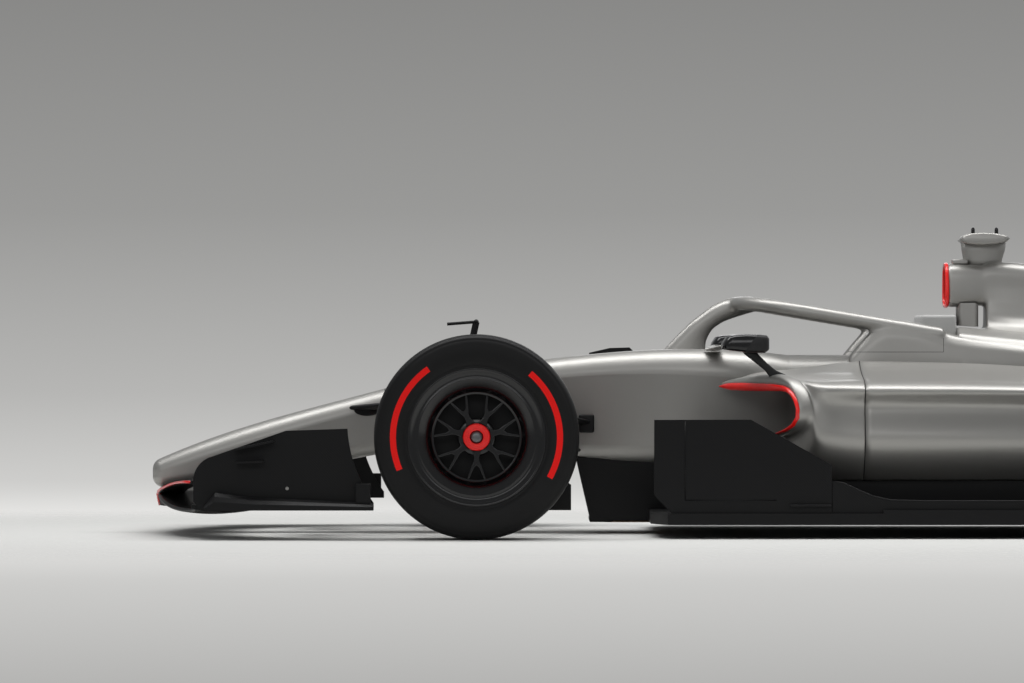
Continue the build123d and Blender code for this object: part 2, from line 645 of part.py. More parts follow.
# columns: behind the front axle, height; the headrest seen from the side
HEADREST = [(1315, 560), (1315, tub_top), (1392, 722), (1575, 736), (1612, 770), (HEADREST_END, 770), (HEADREST_END, 560)]
with BuildPart() as headrest:
    with BuildSketch(Plane.XZ.offset(-HEADREST_HALF_WIDTH)):
        with BuildLine():
            Polyline(*[(front_axle_x + x, z) for x, z in HEADREST], close=True)
        make_face()
    extrude(amount=2 * HEADREST_HALF_WIDTH)
    with BuildSketch(Plane.XY.offset(500)):
        with Locations((front_axle_x + (COCKPIT_FRONT + COCKPIT_REAR) / 2 - 20, 0)):
            RectangleRounded(COCKPIT_REAR - COCKPIT_FRONT, 2 * HEADREST_INNER, 80)
    extrude(amount=400, mode=Mode.SUBTRACT)
    add(survival_cell.part, mode=Mode.SUBTRACT)
    add(halo.part, mode=Mode.SUBTRACT)
save(headrest.part, "headrest")

# Seat: a moulded shell that fills the back of the cockpit
SEAT_HALF_WIDTH = 192
# columns: behind the front axle, height; the seat seen from the side
SEAT = [
    (COCKPIT_REAR, COCKPIT_FLOOR),
    (COCKPIT_REAR, 540),
    (COCKPIT_REAR - 36, 540),
    (1453, 222),
    (1213, 168),
    (1005, 192),
    (1005, COCKPIT_FLOOR),
]
with BuildPart() as seat:
    with BuildSketch(Plane.XZ.offset(-SEAT_HALF_WIDTH)):
        with BuildLine():
            Polyline(*[(front_axle_x + x, z) for x, z in SEAT], close=True)
        make_face()
    extrude(amount=2 * SEAT_HALF_WIDTH)
    add(survival_cell.part, mode=Mode.SUBTRACT)
save(seat.part, "seat")

# Sidepods and engine cover share one outline across the car
POD_WAIST_RADIUS = 90
POD_TOP_RADIUS = 60
POD_FRONT = 845
# columns: behind the front axle, half width at the foot, at the waist, waist height, half width at top, top height
PODS = [(POD_FRONT, 566, 700, 440, 630, 540), (PANEL_SPLIT, 575, 712, 440, 480, 616)]
COVER = [
    PODS[-1],
    (WHEELBASE - 1257, 499, 638, 411, 390, 600),
    (WHEELBASE - 957, 430, 560, 390, 320, 540),
    (WHEELBASE - 377, 140, 200, 330, 110, 420),
]


def pod_section(x, half_foot, half_waist, z_waist, half_top, z_top):
    """Section across both sidepods: straight undercut flanks, a round waist and round top edges."""
    with BuildSketch(Plane.YZ.offset(front_axle_x + x)) as section:
        with BuildLine():
            Polyline(
                (-half_foot, deck_top),
                (half_foot, deck_top),
                (half_waist, z_waist),
                (half_top, z_top),
                (-half_top, z_top),
                (-half_waist, z_waist),
                close=True,
            )
        make_face()
        scale = half_waist / PODS[-1][2]
        fillet(section.vertices().group_by(Axis.Y)[1], POD_WAIST_RADIUS * scale)
        fillet(section.vertices().group_by(Axis.Y)[-1], POD_TOP_RADIUS * scale)
    return section.sketch


INLET_FRONT_INNER = 849
INLET_FRONT_OUTER = 1105
INLET_WALL = 22
INLET_LOW = 352
INLET_DEPTH = 300
pod_inner_y = tub_half_width + BODY_SIDE_GAP
with BuildPart() as sidepod_left:
    loft(sections=[pod_section(*row) for row in PODS])
    with BuildSketch(Plane.XY):
        with BuildLine():
            Polyline(
                (front_axle_x + POD_FRONT - 100, half_width),
                (front_axle_x + POD_FRONT - 100, -half_width),
                (front_axle_x + INLET_FRONT_OUTER + 60, -half_width),
                (front_axle_x + INLET_FRONT_OUTER, -PODS[0][2]),
                (front_axle_x + INLET_FRONT_INNER, -pod_inner_y),
                (front_axle_x + PANEL_SPLIT + 100, -pod_inner_y),
                (front_axle_x + PANEL_SPLIT + 100, half_width),
                close=True,
            )
        make_face()
    extrude(amount=1000, mode=Mode.SUBTRACT)
    with BuildSketch(Plane.YZ.offset(front_axle_x + POD_FRONT - 10)):
        with BuildLine():
            Polyline(
                (-pod_inner_y - INLET_WALL / 2, INLET_LOW),
                (-PODS[0][2] + 3 * INLET_WALL, INLET_LOW),
                (-PODS[0][2] + INLET_WALL, PODS[0][3]),
                (-PODS[0][4] + INLET_WALL / 2, PODS[0][5] - 1.5 * INLET_WALL),
                (-pod_inner_y - INLET_WALL / 2, PODS[0][5] - 1.5 * INLET_WALL),
                close=True,
            )
        inlet = make_face()
        fillet(inlet.vertices(), 26)
    extrude(amount=INLET_DEPTH + INLET_FRONT_OUTER - POD_FRONT, taper=4, mode=Mode.SUBTRACT)
save_pair(sidepod_left.part, "sidepod")

# Mirrors: housings on an outer stay from the sidepod and an inner stay from the cockpit side
MIRROR_X, MIRROR_Y, MIRROR_Z = 921, 585, 675
with BuildPart() as mirror_left:
    with Locations((front_axle_x + MIRROR_X, -MIRROR_Y, MIRROR_Z)):
        Box(176, 206, 62)
    fillet(mirror_left.edges().filter_by(Axis.Y), 22)
    fillet(mirror_left.faces().sort_by(Axis.X)[0].edges(), 8)
    for start, end, chord, thickness in (
        ((MIRROR_X + 20, -MIRROR_Y + 15, MIRROR_Z - 10), (1070, -560, 520), 56, 12),
        ((MIRROR_X - 20, -MIRROR_Y + 90, MIRROR_Z - 8), (860, -250, 628), 70, 14),
    ):
        foot = (front_axle_x + start[0], *start[1:])
        head = (front_axle_x + end[0], *end[1:])
        extrude(strut_section(foot, head, chord, thickness), amount=strut_length(foot, head))
    add(sidepod_left.part, mode=Mode.SUBTRACT)
    add(survival_cell.part, mode=Mode.SUBTRACT)
save_both(mirror_left.part, "mirrors")

# Exhaust tail pipe
EXHAUST_RADIUS = 56
EXHAUST_WALL = 5
EXHAUST_Z = 508
exhaust_front_x = rear_axle_x - 110
exhaust_length = 420
with BuildPart() as exhaust_pipe:
    with BuildSketch(Plane.YZ.offset(exhaust_front_x)):
        with Locations((0, EXHAUST_Z)):
            Circle(EXHAUST_RADIUS)
    extrude(amount=exhaust_length)
    with BuildSketch(Plane.YZ.offset(exhaust_front_x + EXHAUST_WALL)):
        with Locations((0, EXHAUST_Z)):
            Circle(EXHAUST_RADIUS - EXHAUST_WALL)
    extrude(amount=exhaust_length, mode=Mode.SUBTRACT)
save(exhaust_pipe.part, "exhaust_pipe")

# Engine cover: sidepod tails, shoulders behind the driver, airbox and spine, open underneath
# columns: behind the front axle, half width at top, at bottom, lowest, highest, top radius, bottom radius
SHOULDERS = [
    (HEADREST_END, 210, 290, 470, 738, 110, 30),
    (WHEELBASE - 957, 128, 232, 420, 670, 82, 30),
    (WHEELBASE - 257, 60, 110, 380, 560, 40, 20),
]
SPINE_FRONT = 1807
SPINE = [
    (SPINE_FRONT, 70, 94, 620, 963, 56, 30),
    (WHEELBASE - 857, 36, 95, 468, 867, 30, 27),
    (WHEELBASE - 637, 32, 84, 430, 800, 26, 24),
    (WHEELBASE - 257, 34, 74, 410, 664, 28, 24),
    (WHEELBASE - 70, 58, 70, 432, 588, 50, 50),
]
AIRBOX = [(ROLL_HOOP_FACE, 74, 92, 803, 957, 56, 50), (SPINE_FRONT, 70, 94, 800, 963, 56, 50)]
INTAKE_WALL = 14
INTAKE_DEPTH = 150
# columns: behind the front axle, half width, highest
ENGINE_BAY = [(TUB_END + BODY_SIDE_GAP, 214, 500), (WHEELBASE - 957, 206, 488), (WHEELBASE - 360, 104, 384)]
with BuildPart() as engine_cover:
    loft(sections=[pod_section(*row) for row in COVER])
    with BuildSketch(Plane.YZ.offset(front_axle_x + PANEL_SPLIT)):
        Rectangle(2 * pod_inner_y, 4 * tub_top)
    extrude(amount=TUB_END + BODY_SIDE_GAP - PANEL_SPLIT, mode=Mode.SUBTRACT)
    loft(sections=[body_section(front_axle_x + x, *rest) for x, *rest in SHOULDERS])
    loft(sections=[body_section(front_axle_x + x, *rest) for x, *rest in SPINE])
    loft(sections=[body_section(front_axle_x + x, *rest) for x, *rest in AIRBOX])
    with BuildSketch(Plane.YZ.offset(front_axle_x + PANEL_SPLIT)):
        with Locations((0, tub_top / 2)):
            Rectangle(2 * pod_inner_y, tub_top + 2 * BODY_SIDE_GAP)
    extrude(amount=TUB_END + BODY_SIDE_GAP - PANEL_SPLIT, mode=Mode.SUBTRACT)
    bays = []
    for x, half, high in ENGINE_BAY:
        with BuildSketch(Plane.YZ.offset(front_axle_x + x)) as bay:
            with Locations((0, high / 2)):
                Rectangle(2 * half, high)
        bays.append(bay.sketch)
    loft(sections=bays, ruled=True, mode=Mode.SUBTRACT)
    intake = body_section(
        front_axle_x + ROLL_HOOP_FACE,
        *[size - INTAKE_WALL for size in AIRBOX[0][1:3]],
        AIRBOX[0][3] + INTAKE_WALL,
        *[size - INTAKE_WALL for size in AIRBOX[0][4:]],
    )
    extrude(intake, amount=INTAKE_DEPTH, mode=Mode.SUBTRACT)
    with BuildSketch(Plane.YZ.offset(exhaust_front_x)):
        with Locations((0, EXHAUST_Z)):
            Circle(EXHAUST_RADIUS)
    extrude(amount=exhaust_length, mode=Mode.SUBTRACT)
    add(headrest.part, mode=Mode.SUBTRACT)
save(engine_cover.part, "engine_cover")

# Roll hoop: two posts that carry the airbox above the shoulders
HOOP_POST_X, HOOP_POST_Y = 1743, 58
HOOP_POST_LENGTH, HOOP_POST_WIDTH = 72, 30
HOOP_POST_LOW = 690
with BuildPart() as roll_hoop:
    with BuildSketch(Plane.XY.offset(HOOP_POST_LOW)):
        with Locations((front_axle_x + HOOP_POST_X, -HOOP_POST_Y), (front_axle_x + HOOP_POST_X, HOOP_POST_Y)):
            SlotOverall(HOOP_POST_LENGTH, HOOP_POST_WIDTH)
    extrude(amount=AIRBOX[0][3] + INTAKE_WALL - HOOP_POST_LOW)
    add(engine_cover.part, mode=Mode.SUBTRACT)
save(roll_hoop.part, "roll_hoop")

# Camera housing on the airbox, with two short aerials
CAMERA_HALF_WIDTH = 95
CAMERA_FOOT_WIDTH = 60
CAMERA_FOOT_LOW = 950
AERIAL_RADIUS = 7
AERIAL_TOP = 1088
# columns: behind the front axle, height; the leaning housing seen from the side
CAMERA_SIDE = [(1725, 1006), (1747, 1066), (1875, 1066), (1889, 1042), (1868, 992), (1747, 992)]
CAMERA_FOOT = [(1747, 992), (1868, 992), (1860, CAMERA_FOOT_LOW), (1750, CAMERA_FOOT_LOW)]
with BuildPart() as onboard_camera:
    for outline, width in ((CAMERA_SIDE, 2 * CAMERA_HALF_WIDTH), (CAMERA_FOOT, CAMERA_FOOT_WIDTH)):
        with BuildSketch(Plane.XZ.offset(-width / 2)):
            with BuildLine():
                Polyline(*[(front_axle_x + x, z) for x, z in outline], close=True)
            make_face()
        extrude(amount=width)
    with BuildSketch(Plane.XY.offset(CAMERA_SIDE[1][1])):
        with Locations((front_axle_x + 1762, 0), (front_axle_x + 1842, 0)):
            Circle(AERIAL_RADIUS)
    extrude(amount=AERIAL_TOP - CAMERA_SIDE[1][1])
    add(engine_cover.part, mode=Mode.SUBTRACT)
save(onboard_camera.part, "onboard_camera")

# Air-speed probe and low aerial on top of the survival cell
with BuildPart() as pitot_probe:
    mast_foot = (front_axle_x - 52, 0, 540)
    mast_head = (front_axle_x - 6, 0, 750)
    arm_tip = (front_axle_x - 110, 0, 742)
    extrude(strut_section(mast_foot, mast_head, 24, 12), amount=strut_length(mast_foot, mast_head))
    extrude(strut_section(mast_head, arm_tip, 11, 11), amount=strut_length(mast_head, arm_tip))
    with Locations(mast_head):
        Sphere(9)
    with BuildSketch(Plane.XZ.offset(-5)):
        with BuildLine():
            Polyline(
                (front_axle_x + 396, 600),
                (front_axle_x + 396, 640),
                (front_axle_x + 470, 657),
                (front_axle_x + 540, 659),
                (front_axle_x + 560, 640),
                (front_axle_x + 560, 600),
                close=True,
            )
        make_face()
    extrude(amount=10)
    add(survival_cell.part, mode=Mode.SUBTRACT)
save(pitot_probe.part, "pitot_probe")

# Floor with the raised decks under the sidepods
FLOOR_FRONT = 603
FLOOR_WAIST = WHEELBASE - 527
FLOOR_END = WHEELBASE - 200
FLOOR_TAIL_GAP = 15
FLOOR_LIP = 12
DECK_FRONT = 985
DECK_END = WHEELBASE - 900
floor_tail_half = half_width - REAR_TYRE_WIDTH - FLOOR_TAIL_GAP
# columns: behind the front axle, half width
FLOOR_PLAN = [
    (FLOOR_FRONT, 620),
    (FLOOR_FRONT + 55, FLOOR_HALF_WIDTH),
    (FLOOR_WAIST, FLOOR_HALF_WIDTH),
    (FLOOR_WAIST + 150, floor_tail_half),
    (FLOOR_END, floor_tail_half),
]
DECK_PLAN = [(DECK_FRONT, 300), (DECK_FRONT + 160, 566), (WHEELBASE - 1257, 499), (DECK_END, 400)]
with BuildPart() as floor:
    with BuildSketch(Plane.XY.offset(FLOOR_UNDERSIDE)):
        with BuildLine():
            rim = [(front_axle_x + x, y) for x, y in FLOOR_PLAN]
            Polyline(*rim, *[(x, -y) for x, y in reversed(rim)], close=True)
        make_face()
    extrude(amount=FLOOR_THICKNESS)
    with BuildSketch(Plane.XY.offset(floor_top)):
        with BuildLine():
            deck = [(front_axle_x + x, y) for x, y in DECK_PLAN]
            Polyline(*deck, *[(x, -y) for x, y in reversed(deck)], close=True)
        make_face()
        with Locations((front_axle_x + (DECK_FRONT + DECK_END) / 2, 0)):
            Rectangle(2 * DECK_END, 2 * TUB_BASE_HALF_WIDTH, mode=Mode.SUBTRACT)
    extrude(amount=DECK_HEIGHT)
    with BuildSketch(Plane.XY.offset(floor_top)):
        for side in (-1, 1):
            with Locations((front_axle_x + (1400 + FLOOR_WAIST) / 2, side * (FLOOR_HALF_WIDTH - FLOOR_LIP / 2))):
                Rectangle(FLOOR_WAIST - 1400, FLOOR_LIP)
    extrude(amount=FLOOR_LIP)
save(floor.part, "floor")

# Wake boards standing on the floor beside the sidepod inlets
BOARD_Y = 770
BOARD_THICKNESS = 12
# columns: behind the front axle, height
BOARD = [(611, 410), (944, 411), (1223, 255), (1223, floor_top), (671, floor_top), (611, floor_top + 62)]
with BuildPart() as board_left:
    with BuildSketch(Plane.XZ.offset(BOARD_Y)):
        with BuildLine():
            Polyline(*[(front_axle_x + x, z) for x, z in BOARD], close=True)
        make_face()
    extrude(amount=BOARD_THICKNESS)
    fillet(board_left.edges().filter_by(Axis.Y).sort_by(Axis.X)[:1], 24)
save_both(board_left.part, "floor_boards")

# Keel under the front of the survival cell, and the plank beneath keel and floor
KEEL_HALF_WIDTH = 168
# columns: behind the front axle, height
KEEL = [(350, 268), (351, 258), (399, FLOOR_UNDERSIDE), (TUB_BASE_START, FLOOR_UNDERSIDE), (TUB_BASE_START, 268)]
with BuildPart() as keel:
    with BuildSketch(Plane.XZ.offset(-KEEL_HALF_WIDTH)):
        with BuildLine():
            Polyline(*[(front_axle_x + x, z) for x, z in KEEL], close=True)
        make_face()
    extrude(amount=2 * KEEL_HALF_WIDTH)
    add(survival_cell.part, mode=Mode.SUBTRACT)
    add(floor.part, mode=Mode.SUBTRACT)
save(keel.part, "keel")

PLANK_FRONT = 440
with BuildPart() as plank:
    with BuildSketch(Plane.XY.offset(FLOOR_UNDERSIDE - PLANK_THICKNESS)):
        with Locations((front_axle_x + (PLANK_FRONT + FLOOR_END) / 2, 0)):
            RectangleRounded(FLOOR_END - PLANK_FRONT, 2 * PLANK_HALF_WIDTH, 40)
    extrude(amount=PLANK_THICKNESS)
save(plank.part, "plank")

# Diffuser behind the floor, with four strakes
DIFFUSER_LENGTH = 650
DIFFUSER_SIDE_GAP = 80
DIFFUSER_RISE = 178
DIFFUSER_SKIN = 18
diffuser_x = front_axle_x + FLOOR_END
diffuser_half = floor_tail_half - DIFFUSER_SIDE_GAP
with BuildPart() as diffuser:
    with BuildSketch(Plane.XZ.offset(-diffuser_half)):
        with BuildLine():
            Polyline(
                (diffuser_x, FLOOR_UNDERSIDE),
                (diffuser_x, floor_top),
                (diffuser_x + DIFFUSER_LENGTH, FLOOR_UNDERSIDE + DIFFUSER_RISE + DIFFUSER_SKIN),
                (diffuser_x + DIFFUSER_LENGTH, FLOOR_UNDERSIDE + DIFFUSER_RISE),
                close=True,
            )
        make_face()
    extrude(amount=2 * diffuser_half)
    for y in (-diffuser_half, -175, 165, diffuser_half - 10):
        with BuildSketch(Plane.XZ.offset(-y)):
            with BuildLine():
                Polyline(
                    (diffuser_x + 60, FLOOR_UNDERSIDE + 18),
                    (diffuser_x + DIFFUSER_LENGTH, FLOOR_UNDERSIDE + DIFFUSER_RISE + 6),
                    (diffuser_x + DIFFUSER_LENGTH, FLOOR_UNDERSIDE + 42),
                    (diffuser_x + 120, FLOOR_UNDERSIDE + 6),
                    close=True,
                )
            make_face()
        extrude(amount=-10)
save(diffuser.part, "diffuser")

# Power unit, gearbox with its final drive, and the rear impact structure with the rain light and jack pins
ENGINE_LENGTH = 620
ENGINE_HALF_WIDTH = 190
ENGINE_LOW, ENGINE_HIGH = 112, 470
engine_x = front_axle_x + TUB_END
gearbox_x = engine_x + ENGINE_LENGTH
GEARBOX_OVERHANG = 150
FINAL_DRIVE_RADIUS = 76
FINAL_DRIVE_HALF = 106
SHAFT_SEAT = 34
with BuildPart() as power_unit:
    with Locations((engine_x + ENGINE_LENGTH / 2, 0, (ENGINE_LOW + ENGINE_HIGH) / 2)):
        Box(ENGINE_LENGTH, 2 * ENGINE_HALF_WIDTH, ENGINE_HIGH - ENGINE_LOW)
    fillet(power_unit.edges().filter_by(Axis.X), 40)
save(power_unit.part, "power_unit")

gearbox_end_x = rear_axle_x + GEARBOX_OVERHANG
# columns: station, half width, lowest, highest
GEARBOX = [
    (gearbox_x, 122, 124, 430),
    ((gearbox_x + gearbox_end_x) / 2, 88, 132, 372),
    (gearbox_end_x, 80, 204, 345),
]
with BuildPart() as gearbox:
    loft(sections=[body_section(x, half, half, low, high, 24, 24) for x, half, low, high in GEARBOX], ruled=True)
    with Locations(Plane.XZ):
        with Locations((rear_axle_x, rear_radius)):
            Cylinder(FINAL_DRIVE_RADIUS, 2 * FINAL_DRIVE_HALF)
    for side in (-1, 1):
        with BuildSketch(Plane.XZ.offset(side * FINAL_DRIVE_HALF)):
            with Locations((rear_axle_x, rear_radius)):
                Circle(HALF_SHAFT_RADIUS + PIN_GAP)
        extrude(amount=-side * SHAFT_SEAT, mode=Mode.SUBTRACT)
save(gearbox.part, "gearbox")

# columns: station, half width, lowest, highest
TAIL = [(gearbox_end_x, 78, 232, 345), (tail_x - 60, 46, 292, 372)]
JACK_PIN_RADIUS = 15
JACK_PIN_LENGTH = 50
JACK_BOSS_RADIUS = 26
JACK_BOSS_Y = 62
JACK_PIN_X = tail_x - 283
JACK_PIN_Z = 318
with BuildPart() as rear_impact_structure:
    loft(sections=[body_section(x, half, half, low, high, 22, 22) for x, half, low, high in TAIL])
    with BuildSketch(Plane.YZ.offset(tail_x - 60)):
        with Locations((0, 332)):
            RectangleRounded(70, 60, 10)
    extrude(amount=24)
    with Locations(Plane.XZ):
        with Locations((JACK_PIN_X, JACK_PIN_Z)):
            Cylinder(JACK_BOSS_RADIUS, 2 * JACK_BOSS_Y)
            Cylinder(JACK_PIN_RADIUS, 2 * (JACK_BOSS_Y + JACK_PIN_LENGTH))
save(rear_impact_structure.part, "rear_impact_structure")

# Half shafts from the final drive into the rear hubs
with BuildPart() as half_shaft:
    with BuildSketch(Plane.XZ.offset(FINAL_DRIVE_HALF - SHAFT_SEAT + RUNNING_GAP)):
        with Locations((rear_axle_x, rear_radius)):
            Circle(HALF_SHAFT_RADIUS)
    extrude(amount=-front_face_y - SPOKE_THICKNESS / 2 - FINAL_DRIVE_HALF + SHAFT_SEAT - RUNNING_GAP)
    with BuildSketch(Plane.XZ.offset(FINAL_DRIVE_HALF + RUNNING_GAP)):
        with Locations((rear_axle_x, rear_radius)):
            Circle(HALF_SHAFT_JOINT_RADIUS)
    extrude(amount=HALF_SHAFT_JOINT_LENGTH)
save_pair(half_shaft.part, "half_shaft")

# Rear uprights: drum and post around the half shaft
REAR_EYE_INSET = 256
REAR_EYE_HIGH = 120
REAR_EYE_LOW = 150
SHAFT_CLEARANCE = 26.5
rear_eye_y = half_width - REAR_EYE_INSET
with BuildPart() as rear_upright:
    add(brake_drum(rear_axle_x, rear_radius, DRUM_LENGTH))
    with Locations((rear_axle_x, (post_outer_y - rear_eye_y) / 2, rear_radius)):
        Box(UPRIGHT_LENGTH, -rear_eye_y - post_outer_y, 2 * REAR_EYE_LOW + 30)
    with Locations(Plane.XZ):
        with Locations((rear_axle_x, rear_radius, rear_eye_y)):
            Cylinder(SHAFT_CLEARANCE, half_width, mode=Mode.SUBTRACT)
save_pair(rear_upright.part, "rear_upright")

# Rear suspension: two wishbones each side, fixed at ride height
# columns: as for the front
REAR_UPPER_ROOTS = [(-300, 62, 338), (98, 48, 316)]
REAR_LOWER_ROOTS = [(-300, 62, 232), (98, 48, 246)]
with BuildPart() as rear_wishbones:
    for rise, roots in ((REAR_EYE_HIGH, REAR_UPPER_ROOTS), (-REAR_EYE_LOW, REAR_LOWER_ROOTS)):
        eye = (rear_axle_x, -rear_eye_y - 6, rear_radius + rise)
        for x, y, z in roots:
            root = (rear_axle_x + x, -y, z)
            extrude(strut_section(eye, root, STRUT_CHORD, STRUT_THICKNESS), amount=strut_length(eye, root))
    add(gearbox.part, mode=Mode.SUBTRACT)
    add(rear_upright.part, mode=Mode.SUBTRACT)
save_both(rear_wishbones.part, "rear_wishbones")

# Rear wing: main plane between endplates, an opening flap and a twin swan-neck pylon
REAR_WING_HALF = 486
REAR_ENDPLATE = 12
REAR_FLAP_PIN = 6
rear_main_x, rear_main_z = tail_x - 471, 768
rear_flap_x, rear_flap_z = tail_x - 221, 836
REAR_FLAP_CHORD, REAR_FLAP_RISE = 200, 62
rear_hinge_x = rear_flap_x + REAR_FLAP_CHORD - 14
rear_hinge_z = rear_flap_z + REAR_FLAP_RISE - 6
with BuildPart() as rear_wing_main_plane:
    loft(
        sections=[
            wing_section(side * REAR_WING_HALF, rear_main_x, rear_main_z, 258, 44, 24, 36) for side in (-1, 1)
        ]
    )
save(rear_wing_main_plane.part, "rear_wing_main_plane")

with BuildPart() as rear_wing_flap:
    flap_half = REAR_WING_HALF - RUNNING_GAP
    loft(
        sections=[
            wing_section(side * flap_half, rear_flap_x, rear_flap_z, REAR_FLAP_CHORD, REAR_FLAP_RISE, 14, 20)
            for side in (-1, 1)
        ]
    )
    with Locations(Plane.XZ):
        with Locations((rear_hinge_x, rear_hinge_z)):
            Cylinder(REAR_FLAP_PIN, 2 * (REAR_WING_HALF + REAR_ENDPLATE / 2))
save(rear_wing_flap.part, "rear_wing_flap")

# columns: ahead of the tail, height
REAR_ENDPLATE_OUTLINE = [
    (513, 812),
    (487, 905),
    (0, 905),
    (0, 560),
    (53, 440),
    (153, 380),
    (323, 380),
    (373, 520),
]
with BuildPart() as rear_endplate_left:
    with BuildSketch(Plane.XZ.offset(REAR_WING_HALF)):
        with BuildLine():
            Polyline(*[(tail_x - x, z) for x, z in REAR_ENDPLATE_OUTLINE], close=True)
        make_face()
        with Locations((rear_hinge_x, rear_hinge_z)):
            Circle(REAR_FLAP_PIN + PIN_GAP, mode=Mode.SUBTRACT)
    extrude(amount=REAR_ENDPLATE)
    fillet(rear_endplate_left.edges().filter_by(Axis.Y).sort_by(Axis.Z)[-2:], 40)
save_both(rear_endplate_left.part, "rear_wing_endplates")

PYLON_Y = 68
PYLON_THICKNESS = 10
# columns: station, height
PYLON = [
    (rear_axle_x + 190, 300),
    (rear_axle_x + 330, 300),
    (rear_axle_x + 360, 520),
    (tail_x - 373, 720),
    (tail_x - 298, 764),
    (tail_x - 418, 770),
    (tail_x - 543, 620),
    (rear_axle_x + 210, 460),
]
with BuildPart() as pylon_left:
    with BuildSketch(Plane.XZ.offset(PYLON_Y)):
        with BuildLine():
            Polyline(*PYLON, close=True)
        make_face()
    extrude(amount=PYLON_THICKNESS)
    add(rear_impact_structure.part, mode=Mode.SUBTRACT)
    add(rear_wing_main_plane.part, mode=Mode.SUBTRACT)
save_both(pylon_left.part, "rear_wing_pylon")
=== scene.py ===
import math
import bmesh
import bpy
from mathutils import Matrix, Vector


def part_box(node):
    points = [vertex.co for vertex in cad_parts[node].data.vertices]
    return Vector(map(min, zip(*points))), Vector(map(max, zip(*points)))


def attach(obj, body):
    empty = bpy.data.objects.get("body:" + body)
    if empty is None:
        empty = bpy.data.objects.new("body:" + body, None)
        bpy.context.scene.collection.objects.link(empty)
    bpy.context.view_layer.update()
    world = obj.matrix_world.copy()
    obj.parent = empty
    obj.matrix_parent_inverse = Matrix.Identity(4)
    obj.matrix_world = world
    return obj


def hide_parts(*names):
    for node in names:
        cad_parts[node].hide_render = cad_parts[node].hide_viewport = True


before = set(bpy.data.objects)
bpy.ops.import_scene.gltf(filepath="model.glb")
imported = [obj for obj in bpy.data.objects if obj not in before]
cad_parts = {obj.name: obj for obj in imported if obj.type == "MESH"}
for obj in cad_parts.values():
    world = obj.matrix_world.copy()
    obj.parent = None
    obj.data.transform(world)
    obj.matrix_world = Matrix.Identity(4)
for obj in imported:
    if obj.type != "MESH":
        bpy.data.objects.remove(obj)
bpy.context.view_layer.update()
scene = bpy.context.scene
scene.view_settings.view_transform = "Standard"

# Studio: a pale floor that fades into a grey sweep, a long soft box overhead and two fill lights.
# The camera stands far off the car's left side, level, on a long lens.
CAMERA_PLACE = (-1.4216, -23.0, 0.68)
LENS_MM, SENSOR_MM, CAMERA_REACH = 226.86, 36, 200
FLOOR_RADIUS, FLOOR_STEPS = 30.0, 96
# The floor fades out between two distances from the car's middle, with those along the car counted half
FLOOR_CLEAR = (1.4, 3.6)
FLOOR_SQUASH = (0.5, 1.0, 1.0)
FLOOR_COLOUR = (0.72, 0.72, 0.70, 1)
# Columns: sine of the view's elevation, grey level of the sweep. The levels are painted light and shade: brightest in
# a band a little below the horizon, darker up the wall and towards the bottom of the view
SWEEP = [
    (-0.30, 0.50), (-0.053, 0.46), (-0.037, 0.60), (-0.028, 0.84), (-0.022, 0.62), (-0.008, 0.47), (0.02, 0.32),
    (0.053, 0.25),
]
SWEEP_TONE = (1, 0.995, 0.975)
GLOW_COLOUR, GLOW_STRENGTH = (0.78, 0.79, 0.80, 1), 0.36
# Columns: name, place, aimed at, size across, size along, power
LAMPS = [
    ("overhead_box", (-0.3, -0.3, 4.6), (-0.3, -0.2, 0), 9.0, 1.8, 285),
    ("side_fill", (-2.0, -9.0, 3.2), (-0.5, 0, 0.4), 8.0, 1.6, 80),
    ("rear_fill", (2.0, 8.0, 3.0), (0, 0, 0.4), 7.0, 2.0, 90),
]

camera = bpy.data.objects.new("camera", bpy.data.cameras.new("camera"))
camera.data.lens, camera.data.sensor_width, camera.data.clip_end = LENS_MM, SENSOR_MM, CAMERA_REACH
camera.location = CAMERA_PLACE
camera.rotation_euler = (math.pi / 2, 0, 0)
scene.collection.objects.link(camera)
scene.camera = camera


def new_material(name):
    """A new material; gives it with its node tree, its shader and the place on the object."""
    material = bpy.data.materials.new(name)
    material.use_nodes = True
    tree = material.node_tree
    return material, tree, tree.nodes["Principled BSDF"], (add(tree, "TexCoord"), "Object")


def put(node, inputs):
    """Gives a node's inputs, by name or number, fixed values, or links where a value is a node and its output."""
    for name, value in inputs.items():
        socket = node.inputs[name]
        if isinstance(value, tuple) and isinstance(value[0], bpy.types.Node):
            node.id_data.links.new(value[0].outputs[value[1]], socket)
        else:
            socket.default_value = (*value, 1)[:4] if socket.type == "RGBA" else value


def add(tree, kind, inputs=None, **settings):
    """A new shader node of one kind, with its settings and inputs."""
    node = tree.nodes.new("ShaderNode" + kind)
    for name, value in settings.items():
        setattr(node, name, value)
    put(node, inputs or {})
    return node


def ramp(tree, source, stops):
    """The colour of a ramp through rows of place, from 0 to 1, and colour."""
    node = add(tree, "ValToRGB", {"Fac": source})
    elements = node.color_ramp.elements
    for number, (at, colour) in enumerate(stops):
        stop = elements[number] if number < 2 else elements.new(at)
        stop.position = at
    for stop, (at, colour) in zip(elements, stops):
        stop.color = (*colour, 1)
    return node, "Color"


def new_mesh_object(name, mesh_data, body=None, material=None):
    """Turns a finished bmesh into a piece at the origin, on its body and with its material."""
    mesh = bpy.data.meshes.new(name)
    mesh_data.to_mesh(mesh)
    mesh_data.free()
    piece = bpy.data.objects.new(name, mesh)
    scene.collection.objects.link(piece)
    if material:
        mesh.materials.append(material)
    if body:
        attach(piece, body)
    return piece


